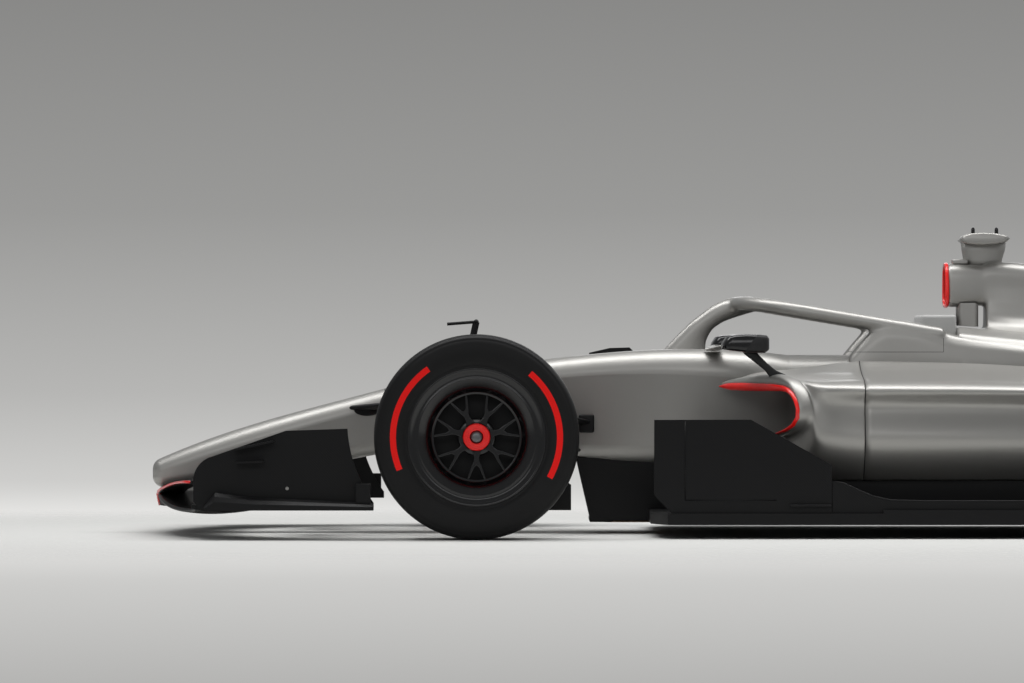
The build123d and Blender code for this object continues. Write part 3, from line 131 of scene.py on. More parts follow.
floor_paint, tree, shader, place = new_material("studio_floor")
put(shader, {"Base Color": FLOOR_COLOUR, "Roughness": 0.75, "Specular IOR Level": 0.2})
squash = add(tree, "VectorMath", {0: place, 1: FLOOR_SQUASH}, operation="MULTIPLY")
reach = add(tree, "VectorMath", {0: (squash, "Vector")}, operation="LENGTH")
fade = add(
    tree, "MapRange", {"Value": (reach, "Value"), "From Min": FLOOR_CLEAR[0], "From Max": FLOOR_CLEAR[1]},
    interpolation_type="SMOOTHSTEP",
)
clear = add(tree, "BsdfTransparent")
blend = add(tree, "MixShader", {"Fac": (fade, "Result"), 1: (shader, "BSDF"), 2: (clear, "BSDF")})
put(tree.nodes["Material Output"], {"Surface": (blend, "Shader")})
disc = bmesh.new()
bmesh.ops.create_circle(disc, cap_ends=True, segments=FLOOR_STEPS, radius=FLOOR_RADIUS)
floor_disc = new_mesh_object("studio_floor", disc, material=floor_paint)

world = bpy.data.worlds.new("studio")
scene.world = world
world.use_nodes = True
tree = world.node_tree
lowest, highest = SWEEP[0][0], SWEEP[-1][0]
look, rays = add(tree, "TexCoord"), add(tree, "LightPath")
split = add(tree, "SeparateXYZ", {"Vector": (look, "Generated")})
rise = add(tree, "MapRange", {"Value": (split, "Z"), "From Min": lowest, "From Max": highest})
sweep = ramp(tree, (rise, "Result"), [
    ((height - lowest) / (highest - lowest), [grey * tone for tone in SWEEP_TONE]) for height, grey in SWEEP
])
seen, glow = add(tree, "Background", {"Color": sweep}), tree.nodes["Background"]
put(glow, {"Color": GLOW_COLOUR, "Strength": GLOW_STRENGTH})
choose = add(
    tree, "MixShader", {"Fac": (rays, "Is Camera Ray"), 1: (glow, "Background"), 2: (seen, "Background")},
)
put(tree.nodes["World Output"], {"Surface": (choose, "Shader")})
for name, spot, aim, wide, long, watts in LAMPS:
    lamp = bpy.data.objects.new(name, bpy.data.lights.new(name, "AREA"))
    lamp.data.shape = "RECTANGLE"
    lamp.data.size, lamp.data.size_y, lamp.data.energy = wide, long, watts
    lamp.location = spot
    lamp.rotation_euler = (Vector(aim) - Vector(spot)).to_track_quat("-Z", "Y").to_euler()
    scene.collection.objects.link(lamp)

# Bodywork: moulded carbon panels in satin titanium-silver paint, split where the real panels meet.
# Fine metal flake shows in the paint, and narrow dark gaps part nose, tub, sidepod panels and engine cover.
SILVER_DARK, SILVER_LIGHT = (0.36, 0.352, 0.335), (0.43, 0.422, 0.402)
SEAM_COLOUR, SEAM_HALF = (0.02, 0.02, 0.02), 0.0015
NOSE_JOINT_X, PANEL_SPLIT_X = -1.873, -0.200


def new_group(name, inputs, outputs):
    """A node group with its two ends; an input with a number is a value, one with None a place."""
    group = bpy.data.node_groups.new(name, "ShaderNodeTree")
    for socket, value in inputs.items():
        kind = "NodeSocketVector" if value is None else "NodeSocketFloat"
        made = group.interface.new_socket(name=socket, in_out="INPUT", socket_type=kind)
        if value is not None:
            made.default_value = value
    for socket in outputs:
        group.interface.new_socket(name=socket, in_out="OUTPUT", socket_type="NodeSocketFloat")
    return group, group.nodes.new("NodeGroupInput"), group.nodes.new("NodeGroupOutput")


def use(tree, group, inputs):
    """A node that stands for a group."""
    return add(tree, "Group", inputs, node_tree=group)


def math_node(tree, operation, *inputs):
    """The result of a math node."""
    return add(tree, "Math", dict(enumerate(inputs)), operation=operation), 0


def mix(tree, share, dark, light):
    """The mix of two colours."""
    return add(tree, "Mix", {"Factor": share, 6: dark, 7: light}, data_type="RGBA"), 2


def between(tree, value, low, high):
    """A value from 0 to 1, spread over a range."""
    return add(tree, "MapRange", {"Value": value, "To Min": low, "To Max": high}), "Result"


flake, start, end = new_group("metal_flake", {"Place": None, "Scale": 900.0}, ["Sparkle", "Cloud"])
grain = add(flake, "TexNoise", {"Vector": (start, "Place"), "Scale": (start, "Scale"), "Detail": 1.0})
cloud = add(flake, "TexNoise", {"Vector": (start, "Place"), "Scale": 3.0})
put(end, {"Sparkle": (grain, "Fac"), "Cloud": (cloud, "Fac")})

gap, start, end = new_group("panel_gap", {"Distance": 0.0, "At": 0.0, "Width": 0.003}, ["Mask"])
away = math_node(gap, "SUBTRACT", (start, "Distance"), (start, "At"))
put(end, {"Mask": math_node(gap, "LESS_THAN", math_node(gap, "ABSOLUTE", away), (start, "Width"))})


def silver_paint(name, gaps=()):
    """Satin titanium paint with flake; gaps are dark seams: (axis, place, half width, axis along it, from, to)."""
    material, tree, shader, place = new_material(name)
    axes, speck = add(tree, "SeparateXYZ", {"Vector": place}), use(tree, flake, {"Place": place})
    tint = mix(tree, (speck, "Sparkle"), SILVER_DARK, SILVER_LIGHT)
    for letter, at, half, run, run_from, run_to in gaps:
        middle, reach = (run_from + run_to) / 2, (run_to - run_from) / 2
        seam = use(tree, gap, {"Distance": (axes, letter), "At": at, "Width": half})
        length = use(tree, gap, {"Distance": (axes, run), "At": middle, "Width": reach})
        tint = mix(tree, math_node(tree, "MULTIPLY", (seam, "Mask"), (length, "Mask")), tint, SEAM_COLOUR)
    put(shader, {
        "Base Color": tint, "Roughness": between(tree, (speck, "Cloud"), 0.42, 0.50), "Metallic": 0.82,
        "Coat Weight": 0.25, "Coat Roughness": 0.12,
    })
    return material


def dress(material, *names):
    """Gives CAD pieces their finish."""
    for name in names:
        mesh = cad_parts[name].data
        mesh.materials.clear()
        mesh.materials.append(material)


nose_paint = silver_paint("nose_and_tub_paint", [("X", NOSE_JOINT_X, SEAM_HALF, "Z", 0.0, 1.0)])
pod_paint = silver_paint("sidepod_paint", [("X", PANEL_SPLIT_X, SEAM_HALF, "Z", 0.0, 1.0)])
dress(nose_paint, "nose_cone", "survival_cell")
dress(pod_paint, "sidepod_left", "sidepod_right", "engine_cover")
dress(silver_paint("flap_paint"), "front_wing_flaps")
dress(silver_paint("small_panel_paint"), "halo", "headrest", "roll_hoop", "onboard_camera")

# Black carbon pieces: wings, floor, boards, keel, brake drums and suspension fairings.
# Their satin lacquer lets the twill weave show faintly.
twill, start, end = new_group("twill_weave", {"Place": None, "Tows": 420.0}, ["Mask", "Height"])
axes = add(twill, "SeparateXYZ", {"Vector": (start, "Place")})
steps = []
for letter in "XZ":
    lean = math_node(twill, "ADD", (axes, letter), (axes, "Y"))
    steps.append(math_node(twill, "FLOOR", math_node(twill, "MULTIPLY", lean, (start, "Tows"))))
turn = math_node(twill, "FLOORED_MODULO", math_node(twill, "ADD", *steps), 4.0)
over = math_node(twill, "LESS_THAN", turn, 1.5)
put(end, {"Mask": over, "Height": math_node(twill, "MULTIPLY", over, 0.6)})

satin_carbon, tree, shader, place = new_material("satin_carbon")
weave, cloud = use(tree, twill, {"Place": place}), add(tree, "TexNoise", {"Vector": place, "Scale": 6.0})
put(shader, {
    "Base Color": mix(tree, (weave, "Mask"), (0.0045, 0.0045, 0.005), (0.0085, 0.0085, 0.009)),
    "Roughness": between(tree, (cloud, "Fac"), 0.35, 0.47), "Specular IOR Level": 0.2,
})
dress(
    satin_carbon,
    "front_wing_main_plane", "front_wing_endplates", "floor", "floor_boards", "keel", "diffuser",
    "mirrors", "pitot_probe", "front_wishbones", "rear_wishbones", "front_upright_left", "front_upright_right",
    "rear_upright_left", "rear_upright_right", "rear_wing_endplates", "rear_wing_main_plane", "rear_wing_flap",
    "rear_wing_pylon", "rear_impact_structure", "steering_wheel",
)

# Tyres: slick racing tyres on 18 inch rims, moulded in one dull black compound.
# Fine ring lines run round the sidewall near the rim and near the tread, and two plain red arcs mark the compound.
# Columns: inset from the tyre's side face, radius below the tread
TYRE_SIDE = [
    (0.0180, 0.1235), (0.0150, 0.1195), (0.0100, 0.1125), (0.0085, 0.1085), (0.0110, 0.1065), (0.0074, 0.1040),
    (0.0040, 0.0925), (0.0012, 0.0775), (0.0000, 0.0625), (0.0008, 0.0475), (0.0035, 0.0325), (0.0072, 0.0215),
    (0.0112, 0.0176), (0.0112, 0.0150), (0.0160, 0.0096), (0.0250, 0.0040), (0.0400, 0.0010), (0.0650, 0.0),
]
SPIN_STEPS = 128
# Columns: name, axle place along the car, tyre radius, tyre width
AXLES = [("front", -1.543, 0.3525, 0.280), ("rear", 1.857, 0.3550, 0.375)]
SIDES = (("left", -1), ("right", 1))
OUTER_FACE = 0.950
RED_PAINT = (0.98, 0.008, 0.006)
ARC_RADIUS, ARC_HALF_WIDTH = 0.2855, 0.0105
# Columns: middle of the arc and half its length, in degrees from the car's tail upwards
ARC_TURNS = ((164.0, 39.0), (10.5, 39.5))


def spun_ring(rows, axle_x, axle_z, side):
    """Spins a closed profile of (inset from the outer face, radius) rows round the axle on one side of the car."""
    spun = bmesh.new()
    corners = [spun.verts.new((axle_x, side * (OUTER_FACE - inset), axle_z + radius)) for inset, radius in rows]
    edges = [spun.edges.new(pair) for pair in zip(corners, corners[1:] + corners[:1])]
    bmesh.ops.spin(
        spun, geom=corners + edges, cent=(axle_x, 0, axle_z), axis=(0, 1, 0), angle=2 * math.pi,
        steps=SPIN_STEPS, use_merge=True,
    )
    bmesh.ops.remove_doubles(spun, verts=spun.verts, dist=1e-6)
    bmesh.ops.recalc_face_normals(spun, faces=spun.faces)
    for face in spun.faces:
        face.smooth = True
    return spun


polar, start, end = new_group("wheel_polar", {"Place": None, "Axle X": 0.0, "Axle Z": 0.0}, ["Radius", "Turn"])
axes = add(polar, "SeparateXYZ", {"Vector": (start, "Place")})
up, along = (math_node(polar, "SUBTRACT", (axes, letter), (start, f"Axle {letter}")) for letter in "ZX")
squares = [math_node(polar, "MULTIPLY", part, part) for part in (up, along)]
radius = math_node(polar, "SQRT", math_node(polar, "ADD", *squares))
put(end, {"Radius": radius, "Turn": math_node(polar, "ARCTAN2", up, along)})


def tyre_rubber(name, axle_x, axle_z):
    """Dull compound with fine mould grain and the two red arcs, set out from the axle."""
    material, tree, shader, place = new_material(name)
    wheel = use(tree, polar, {"Place": place, "Axle X": axle_x, "Axle Z": axle_z})
    band = use(tree, gap, {"Distance": (wheel, "Radius"), "At": ARC_RADIUS, "Width": ARC_HALF_WIDTH})
    windows = []
    for middle, half in ARC_TURNS:
        turned = math_node(tree, "COSINE", math_node(tree, "SUBTRACT", (wheel, "Turn"), math.radians(middle)))
        windows.append(math_node(tree, "GREATER_THAN", turned, math.cos(math.radians(half))))
    inside = math_node(tree, "MULTIPLY", math_node(tree, "MAXIMUM", *windows), (band, "Mask"))
    grain, cloud = (add(tree, "TexNoise", {"Vector": place, "Scale": scale}) for scale in (420.0, 9.0))
    tint = mix(tree, (cloud, "Fac"), (0.006, 0.006, 0.0063), (0.011, 0.011, 0.0113))
    bump = add(tree, "Bump", {"Strength": 0.25, "Distance": 0.0006, "Height": (grain, "Fac")})
    put(shader, {
        "Base Color": mix(tree, inside, tint, RED_PAINT), "Roughness": between(tree, (cloud, "Fac"), 0.46, 0.60),
        "Normal": (bump, "Normal"), "Specular IOR Level": 0.2,
    })
    return material


for axle, axle_x, tyre_radius, tyre_width in AXLES:
    near = [(inset, tyre_radius - drop) for inset, drop in TYRE_SIDE]
    rows = near + [(tyre_width - inset, radius) for inset, radius in reversed(near)]
    rubber = tyre_rubber(f"{axle}_tyre_rubber", axle_x, tyre_radius)
    for side_name, side in SIDES:
        tyre = new_mesh_object(
            f"{axle}_tyre_{side_name}_slick", spun_ring(rows, axle_x, tyre_radius, side),
            f"{axle}_wheel_{side_name}", rubber,
        )
        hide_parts(f"{axle}_tyre_{side_name}")

# Wheels: forged and machined rims in satin black, each with a deep dish and seven forked spokes.
# A red ring nut with a blank grey spindle end holds each wheel on its hub.
# Columns of rim, hub, nut and cap: inset from the tyre's outer face, radius
RIM_FACE = [
    (0.0178, 0.2285), (0.0178, 0.2375), (0.0150, 0.2387), (0.0119, 0.2375), (0.0110, 0.2340), (0.0125, 0.2285),
    (0.0180, 0.2230), (0.0225, 0.2165), (0.0240, 0.2100), (0.0235, 0.2045), (0.0215, 0.2010), (0.0222, 0.1995),
    (0.0300, 0.1900), (0.0420, 0.1755), (0.0500, 0.1680), (0.0540, 0.1655), (0.0560, 0.1640), (0.0660, 0.1600),
    (0.0740, 0.1550), (0.0770, 0.1505), (0.0770, 0.1478), (0.0785, 0.1465), (0.0980, 0.1465), (0.0990, 0.1570),
    (0.0520, 0.1930), (0.0520, 0.2210),
]
# Columns of the rim's back: inset from the tyre's inner face, radius
RIM_BACK = [(0.0250, 0.2210), (0.0250, 0.2375), (0.0180, 0.2375), (0.0180, 0.2285)]
HUB_ROWS = [(0.0820, 0.0), (0.0820, 0.0500), (0.0835, 0.0580), (0.0850, 0.0640), (0.0980, 0.0660), (0.0980, 0.0)]
NUT_ROWS = [
    (0.0800, 0.0225), (0.0575, 0.0225), (0.0550, 0.0240), (0.0540, 0.0270), (0.0555, 0.0285), (0.0555, 0.0385),
    (0.0540, 0.0400), (0.0550, 0.0440), (0.0580, 0.0465), (0.0640, 0.0470), (0.0800, 0.0470),
]
CAP_ROWS = [
    (0.0560, 0.0), (0.0560, 0.0080), (0.0570, 0.0135), (0.0600, 0.0190), (0.0640, 0.0220), (0.0800, 0.0222),
    (0.0800, 0.0),
]
# Columns of one spoke: distance from the axle, half width; first its stem, then one tine of its fork
SPOKE_STEM = [(0.046, 0.0185), (0.058, 0.0125), (0.070, 0.0100), (0.082, 0.0105)]
SPOKE_TINE = [(0.1010, 0.0190), (0.1480, 0.0352), (0.1495, 0.0268), (0.1060, 0.0082)]
SPOKE_CROTCH = 0.0985
SPOKE_COUNT = 7
SPOKE_FRONT, SPOKE_DEPTH, SPOKE_BEVEL = 0.0800, 0.0190, 0.0028
# Shares of a metal's colour between which its grain runs
GRAIN_DARK, GRAIN_LIGHT = 0.85, 1.15


def spoke_plate(axle_x, axle_z, side):
    """Seven forked spokes, extruded from their outline and bevelled, round one axle."""
    plate = bmesh.new()
    centre = (axle_x, 0, axle_z)
    half = SPOKE_STEM + SPOKE_TINE
    outline = [(u, -v) for u, v in half] + [(SPOKE_CROTCH, 0.0)] + [(u, v) for u, v in reversed(half)]
    front_y = side * (OUTER_FACE - SPOKE_FRONT)
    face = plate.faces.new([plate.verts.new((axle_x + u, front_y, axle_z + v)) for u, v in outline])
    wall = bmesh.ops.extrude_face_region(plate, geom=[face])
    back = [piece for piece in wall["geom"] if isinstance(piece, bmesh.types.BMVert)]
    bmesh.ops.translate(plate, verts=back, vec=(0, -side * SPOKE_DEPTH, 0))
    bmesh.ops.recalc_face_normals(plate, faces=plate.faces)
    rim = [edge for edge in plate.edges if all(abs(v.co.y - front_y) < 1e-6 for v in edge.verts)]
    bmesh.ops.bevel(
        plate, geom=rim, offset=SPOKE_BEVEL, segments=3, profile=0.5, affect="EDGES", material=-1,
    )
    upright = Matrix.Rotation(math.radians(90), 3, "Y")
    bmesh.ops.rotate(plate, verts=plate.verts, cent=centre, matrix=upright)
    first = plate.verts[:] + plate.edges[:] + plate.faces[:]
    for number in range(1, SPOKE_COUNT):
        copy = bmesh.ops.duplicate(plate, geom=first)
        verts = [piece for piece in copy["geom"] if isinstance(piece, bmesh.types.BMVert)]
        turn = Matrix.Rotation(2 * math.pi * number / SPOKE_COUNT, 3, "Y")
        bmesh.ops.rotate(plate, verts=verts, cent=centre, matrix=turn)
    return plate


def joined(*parts):
    """Puts several bmeshes into one."""
    whole = bmesh.new()
    for part in parts:
        mesh = bpy.data.meshes.new("part")
        part.to_mesh(mesh)
        part.free()
        whole.from_mesh(mesh)
        bpy.data.meshes.remove(mesh)
    return whole


def satin_metal(name, colour, metallic, roughness, spread=0.06, grain_scale=180.0, coat=0.0):
    """Painted or machined metal: a fine grain in its colour and gloss."""
    material, tree, shader, place = new_material(name)
    speck = use(tree, flake, {"Place": place, "Scale": grain_scale})
    dark = [channel * GRAIN_DARK for channel in colour]
    light = [min(1.0, channel * GRAIN_LIGHT) for channel in colour]
    put(shader, {
        "Base Color": mix(tree, (speck, "Sparkle"), dark, light),
        "Roughness": between(tree, (speck, "Cloud"), roughness - spread, roughness + spread),
        "Metallic": metallic, "Coat Weight": coat, "Coat Roughness": 0.08,
    })
    return material


wheel_black = satin_metal("wheel_black", (0.004, 0.004, 0.0045), 0.0, 0.20, coat=0.1)
nut_red = satin_metal("nut_red", RED_PAINT, 0.0, 0.38)
spindle_grey = satin_metal("spindle_grey", (0.16, 0.16, 0.165), 0.9, 0.36)
for axle, axle_x, tyre_radius, tyre_width in AXLES:
    rows = RIM_FACE + [(tyre_width - inset, radius) for inset, radius in RIM_BACK]
    for side_name, side in SIDES:
        body, hub = f"{axle}_wheel_{side_name}", (axle_x, tyre_radius, side)
        turned = joined(spun_ring(rows, *hub), spoke_plate(*hub), spun_ring(HUB_ROWS, *hub))
        rim = new_mesh_object(f"{body}_rim", turned, body, wheel_black)
        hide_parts(body)
        new_mesh_object(f"{body}_nut", spun_ring(NUT_ROWS, *hub), body, nut_red)
        new_mesh_object(f"{body}_cap", spun_ring(CAP_ROWS, *hub), body, spindle_grey)

# Halo: a titanium hoop over the cockpit on one pylon, its rear feet under fairings that flow into the headrest.
# The fairings are moulded carbon shells in the body's paint, screwed on over the hoop and split by fine panel lines.
HALO_REAR, HALO_SLOPE = Vector((0.100, 0.0, 0.704)), math.radians(9.5)
HALO_LEG, HALO_HALF, HALO_TUBE, HALO_DROOP, DROOP_POWER = 0.478, 0.250, 0.0255, 0.010, 6
BOW_STEPS, LEG_STEPS = 24, 6
HALO_VOXEL, HALO_ROUNDS = 0.0055, 26
# Columns: leading edge along and up, trailing edge along and up, half thickness
HALO_PYLON = [
    (-0.915, 0.600, -0.735, 0.600, 0.024), (-0.883, 0.653, -0.727, 0.682, 0.024),
    (-0.838, 0.702, -0.716, 0.708, 0.024), (-0.791, 0.748, -0.700, 0.728, 0.025),
    (-0.715, 0.806, -0.670, 0.748, 0.029), (-0.672, 0.828, -0.640, 0.760, 0.034),
    (-0.628, 0.840, -0.610, 0.770, 0.042), (-0.575, 0.842, -0.570, 0.782, 0.044),
    (-0.540, 0.834, -0.535, 0.790, 0.040),
]
# Columns: along the car, highest, outermost, innermost
HALO_FAIRING = [
    (-0.235, 0.628, 0.284, 0.216), (-0.195, 0.678, 0.286, 0.212), (-0.156, 0.722, 0.287, 0.210),
    (-0.110, 0.762, 0.287, 0.208), (-0.036, 0.757, 0.287, 0.204), (0.020, 0.746, 0.287, 0.198),
    (0.080, 0.724, 0.286, 0.190), (0.140, 0.706, 0.284, 0.180), (0.220, 0.694, 0.280, 0.165),
    (0.320, 0.684, 0.274, 0.150), (0.430, 0.668, 0.264, 0.140), (0.560, 0.640, 0.248, 0.130),
    (0.750, 0.585, 0.220, 0.110),
]
FAIRING_LOW = 0.560
# Columns of the fairing's section: share of the width from inside, share of the height
FAIRING_SECTION = [(0, 0), (0, 0.6), (0.18, 0.92), (0.5, 1), (0.76, 0.94), (0.94, 0.72), (1, 0.36), (1, 0)]
# Columns: axis across the seam, its place, half width, axis along it, from, to
FAIRING_SEAMS = [("Z", 0.643, 0.0008, "X", -0.212, 0.098), ("X", 0.098, 0.0008, "Z", 0.643, 0.692)]


def ring(centre, first, second, count=20):
    """A closed ring of points around a centre, spanned by two half axes."""
    turns = [2 * math.pi * number / count for number in range(count)]
    return [centre + first * math.cos(turn) + second * math.sin(turn) for turn in turns]


def skinned(rings, closed=False):
    """Bridges a row of closed rings into a solid with flat ends, or into one that meets itself."""
    skin = bmesh.new()
    loops = []
    for points in rings:
        corners = [skin.verts.new(point) for point in points]
        loops.append([skin.edges.new(pair) for pair in zip(corners, corners[1:] + corners[:1])])
    for first, second in zip(loops, loops[1:]):
        bmesh.ops.bridge_loops(skin, edges=first + second)
    if closed:
        bmesh.ops.bridge_loops(skin, edges=loops[-1] + loops[0])
    else:
        bmesh.ops.holes_fill(skin, edges=loops[0] + loops[-1])
    bmesh.ops.recalc_face_normals(skin, faces=skin.faces)
    for face in skin.faces:
        face.smooth = True
    return skin


def melted(piece, voxel, rounds):
    """Flows the overlapping solids of a piece into one smooth skin."""
    remesh = piece.modifiers.new("remesh", "REMESH")
    remesh.mode, remesh.voxel_size, remesh.use_smooth_shade = "VOXEL", voxel, True
    soften = piece.modifiers.new("soften", "SMOOTH")
    soften.factor, soften.iterations = 0.5, rounds


forward = Vector((-math.cos(HALO_SLOPE), 0, math.sin(HALO_SLOPE)))
upward = Vector((math.sin(HALO_SLOPE), 0, math.cos(HALO_SLOPE)))
sideways = Vector((0, 1, 0))
legs = [(HALO_LEG * step / LEG_STEPS, 0.0) for step in range(LEG_STEPS)]
bow = [(HALO_LEG, math.pi * step / BOW_STEPS) for step in range(BOW_STEPS + 1)]
hoop = []
for run, turn in legs + bow + [(run, math.pi) for run, turn in legs[::-1]]:
    outward = forward * math.sin(turn) - sideways * math.cos(turn)
    droop = upward * -HALO_DROOP * math.sin(turn) ** DROOP_POWER
    centre = HALO_REAR + forward * run + outward * HALO_HALF + droop
    hoop.append(ring(centre, outward * HALO_TUBE, upward * HALO_TUBE))
pylon = [
    ring(Vector(((a + c) / 2, 0, (b + d) / 2)), Vector(((a - c) / 2, 0, (b - d) / 2)), Vector((0, half, 0)))
    for a, b, c, d, half in HALO_PYLON
]
fairings = [
    skinned([
        [
            Vector((x, side * (inner + (outer - inner) * u), FAIRING_LOW + (top - FAIRING_LOW) * v))
            for u, v in FAIRING_SECTION
        ]
        for x, top, outer, inner in HALO_FAIRING
    ])
    for side_name, side in SIDES
]
halo_paint = silver_paint("halo_paint", FAIRING_SEAMS)
halo_parts = joined(skinned(hoop), skinned(pylon), *fairings)
halo_skin = new_mesh_object("halo_skin", halo_parts, "chassis", halo_paint)
melted(halo_skin, HALO_VOXEL, HALO_ROUNDS)
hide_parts("halo", "headrest")

# Heavy and hidden pieces: cast engine and gearbox cases, turned steel shafts, rack and the laminated plank.
# The exhaust tail pipe is thin nickel alloy, coloured by heat towards its front.
engine_alloy = satin_metal("engine_alloy", (0.30, 0.30, 0.31), 0.85, 0.46, 0.08, 70.0)
shaft_steel = satin_metal("shaft_steel", (0.46, 0.45, 0.44), 1.0, 0.28, 0.07, 240.0)
dress(engine_alloy, "power_unit", "gearbox")
dress(shaft_steel, "half_shaft_left", "half_shaft_right", "steering_rack")

PLY_GRAIN = (6.0, 60.0, 900.0)
plank_wood, tree, shader, place = new_material("plank_wood")
stretch = add(tree, "Mapping", {"Vector": place, "Scale": PLY_GRAIN})
grain = add(tree, "TexNoise", {"Vector": (stretch, "Vector"), "Scale": 1.0, "Detail": 4.0})
ply = mix(tree, (grain, "Fac"), (0.12, 0.075, 0.042), (0.30, 0.20, 0.12))
put(shader, {"Base Color": ply, "Roughness": 0.62})
dress(plank_wood, "plank")

# Columns: place along the pipe from its hot end, colour
HEAT_TINT = [
    (0.0, (0.16, 0.15, 0.20)), (0.35, (0.34, 0.22, 0.16)), (0.65, (0.46, 0.36, 0.22)), (1.0, (0.50, 0.47, 0.43)),
]
pipe_low, pipe_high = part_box("exhaust_pipe")
exhaust_steel, tree, shader, place = new_material("exhaust_steel")
axes, grain = add(tree, "SeparateXYZ", {"Vector": place}), add(tree, "TexNoise", {"Vector": place, "Scale": 45.0})
along = add(tree, "MapRange", {"Value": (axes, "X"), "From Min": pipe_low[0], "From Max": pipe_high[0]})
put(shader, {
    "Base Color": ramp(tree, (along, "Result"), HEAT_TINT), "Metallic": 1.0,
    "Roughness": between(tree, (grain, "Fac"), 0.24, 0.42),
})
dress(exhaust_steel, "exhaust_pipe")

# Mirrors: gloss black carbon housings with a matte rear rim, each on a black outer stay and a silver inner stay.
# The stays are bonded into the housing; the outer one stands on the sidepod with a flared foot.
# Columns: along the car, height; the housing seen from the side
MIRROR_PROFILE = [
    (-0.696, 0.654), (-0.692, 0.675), (-0.678, 0.696), (-0.657, 0.7026), (-0.612, 0.706), (-0.560, 0.7035),
    (-0.539, 0.701), (-0.532, 0.692), (-0.532, 0.672), (-0.532, 0.6505), (-0.546, 0.640), (-0.580, 0.641),
    (-0.612, 0.642), (-0.671, 0.649),
]
MIRROR_MIDDLE = (-0.606, 0.673)
# Columns: distance from the car's middle, size of the profile there
MIRROR_WIDTHS = [
    (0.482, 0.70), (0.486, 0.86), (0.498, 0.96), (0.520, 1.0), (0.650, 1.0), (0.672, 0.96), (0.684, 0.86),
    (0.688, 0.70),
]
# Slope and place of the line behind which the housing is matte
RIM_SLOPE, RIM_PLACE = -0.74, 1.094
# Columns of both stays: along the car, distance from the middle, height, half chord, half thickness
OUTER_STAY = [
    (-0.601, 0.575, 0.650, 0.027, 0.007), (-0.588, 0.574, 0.634, 0.024, 0.007), (-0.556, 0.572, 0.606, 0.020, 0.006),
    (-0.524, 0.569, 0.580, 0.020, 0.006), (-0.494, 0.566, 0.560, 0.034, 0.007), (-0.484, 0.565, 0.548, 0.050, 0.008),
    (-0.480, 0.565, 0.520, 0.052, 0.008),
]
INNER_STAY = [
    (-0.715, 0.235, 0.650, 0.030, 0.004), (-0.700, 0.330, 0.655, 0.026, 0.0045), (-0.676, 0.490, 0.664, 0.020, 0.005),
]
GLASS_PLACE, GLASS_SIZE = (-0.5312, 0.585, 0.672), (0.002, 0.150, 0.036)


def slab(profile, middle, widths):
    """A solid across the car: a profile seen from the side, scaled about its middle at each width."""
    return skinned([
        [Vector((middle[0] + (x - middle[0]) * size, y, middle[1] + (z - middle[1]) * size)) for x, z in profile]
        for y, size in widths
    ])


def stay(rows, side):
    """A blade through rows of place, half chord and half thickness, its chord along the car."""
    level = abs(rows[0][1] - rows[-1][1]) > abs(rows[0][2] - rows[-1][2])
    return skinned([
        ring(
            Vector((x, side * y, z)), Vector((chord, 0, 0)),
            Vector((0, 0, thick)) if level else Vector((0, thick, 0)), count=16,
        )
        for x, y, z, chord, thick in rows
    ])


gloss, tree, shader, place = new_material("mirror_black")
axes, grain = add(tree, "SeparateXYZ", {"Vector": place}), use(tree, flake, {"Place": place})
lean = math_node(tree, "MULTIPLY_ADD", (axes, "Z"), RIM_SLOPE, RIM_PLACE)
rim = math_node(tree, "GREATER_THAN", math_node(tree, "ADD", (axes, "X"), lean), 0.0)
put(shader, {
    "Base Color": mix(tree, (grain, "Sparkle"), (0.003, 0.003, 0.0035), (0.008, 0.008, 0.0085)),
    "Roughness": between(tree, rim, 0.16, 0.55),
})

mirror_parts, glass_parts, stay_parts = [], [], []
for side_name, side in SIDES:
    mirror_parts.append(slab(MIRROR_PROFILE, MIRROR_MIDDLE, [(side * y, size) for y, size in MIRROR_WIDTHS]))
    mirror_parts.append(stay(OUTER_STAY, side))
    stay_parts.append(stay(INNER_STAY, side))
    glass = bmesh.new()
    bmesh.ops.create_cube(glass, size=1.0)
    bmesh.ops.scale(glass, verts=glass.verts, vec=GLASS_SIZE)
    glass_x, glass_y, glass_z = GLASS_PLACE
    bmesh.ops.translate(glass, verts=glass.verts, vec=(glass_x, side * glass_y, glass_z))
    glass_parts.append(glass)
housings = new_mesh_object("mirror_housings", joined(*mirror_parts), "chassis", gloss)
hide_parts("mirrors")
new_mesh_object("mirror_inner_stays", joined(*stay_parts), "chassis", halo_paint)
mirror_glass = satin_metal("mirror_glass", (0.75, 0.76, 0.77), 1.0, 0.06, 0.03, 40.0)
new_mesh_object("mirror_glasses", joined(*glass_parts), "chassis", mirror_glass)

# Inlet lips: the sidepod's rounded leading edge and the airbox mouth are separate mouldings with a red painted edge.
# They are bonded on after the body panels, so the red band ends sharply against the silver.
INLET_START, INLET_RUN = Vector((-0.694, 0.306)), Vector((0.256, 0.394))
# Columns: share of the way along the inlet, height of the lip's middle, height of the brow above it, half width of red
LIP_PATH = [
    (0.07, 0.5225, 0.018, 0.004), (0.12, 0.5225, 0.024, 0.009), (0.20, 0.5220, 0.030, 0.013),
    (0.33, 0.5215, 0.037, 0.014), (0.48, 0.5210, 0.043, 0.014), (0.62, 0.5205, 0.046, 0.0135),
    (0.75, 0.5200, 0.045, 0.012), (0.86, 0.5175, 0.040, 0.010), (0.93, 0.5110, 0.033, 0.008),
    (0.985, 0.4975, 0.026, 0.0065), (1.03, 0.4760, 0.020, 0.006), (1.06, 0.4480, 0.016, 0.0055),
    (1.055, 0.4180, 0.014, 0.0055), (1.00, 0.3920, 0.013, 0.0055), (0.91, 0.3740, 0.012, 0.0055),
    (0.78, 0.3580, 0.010, 0.005),
]
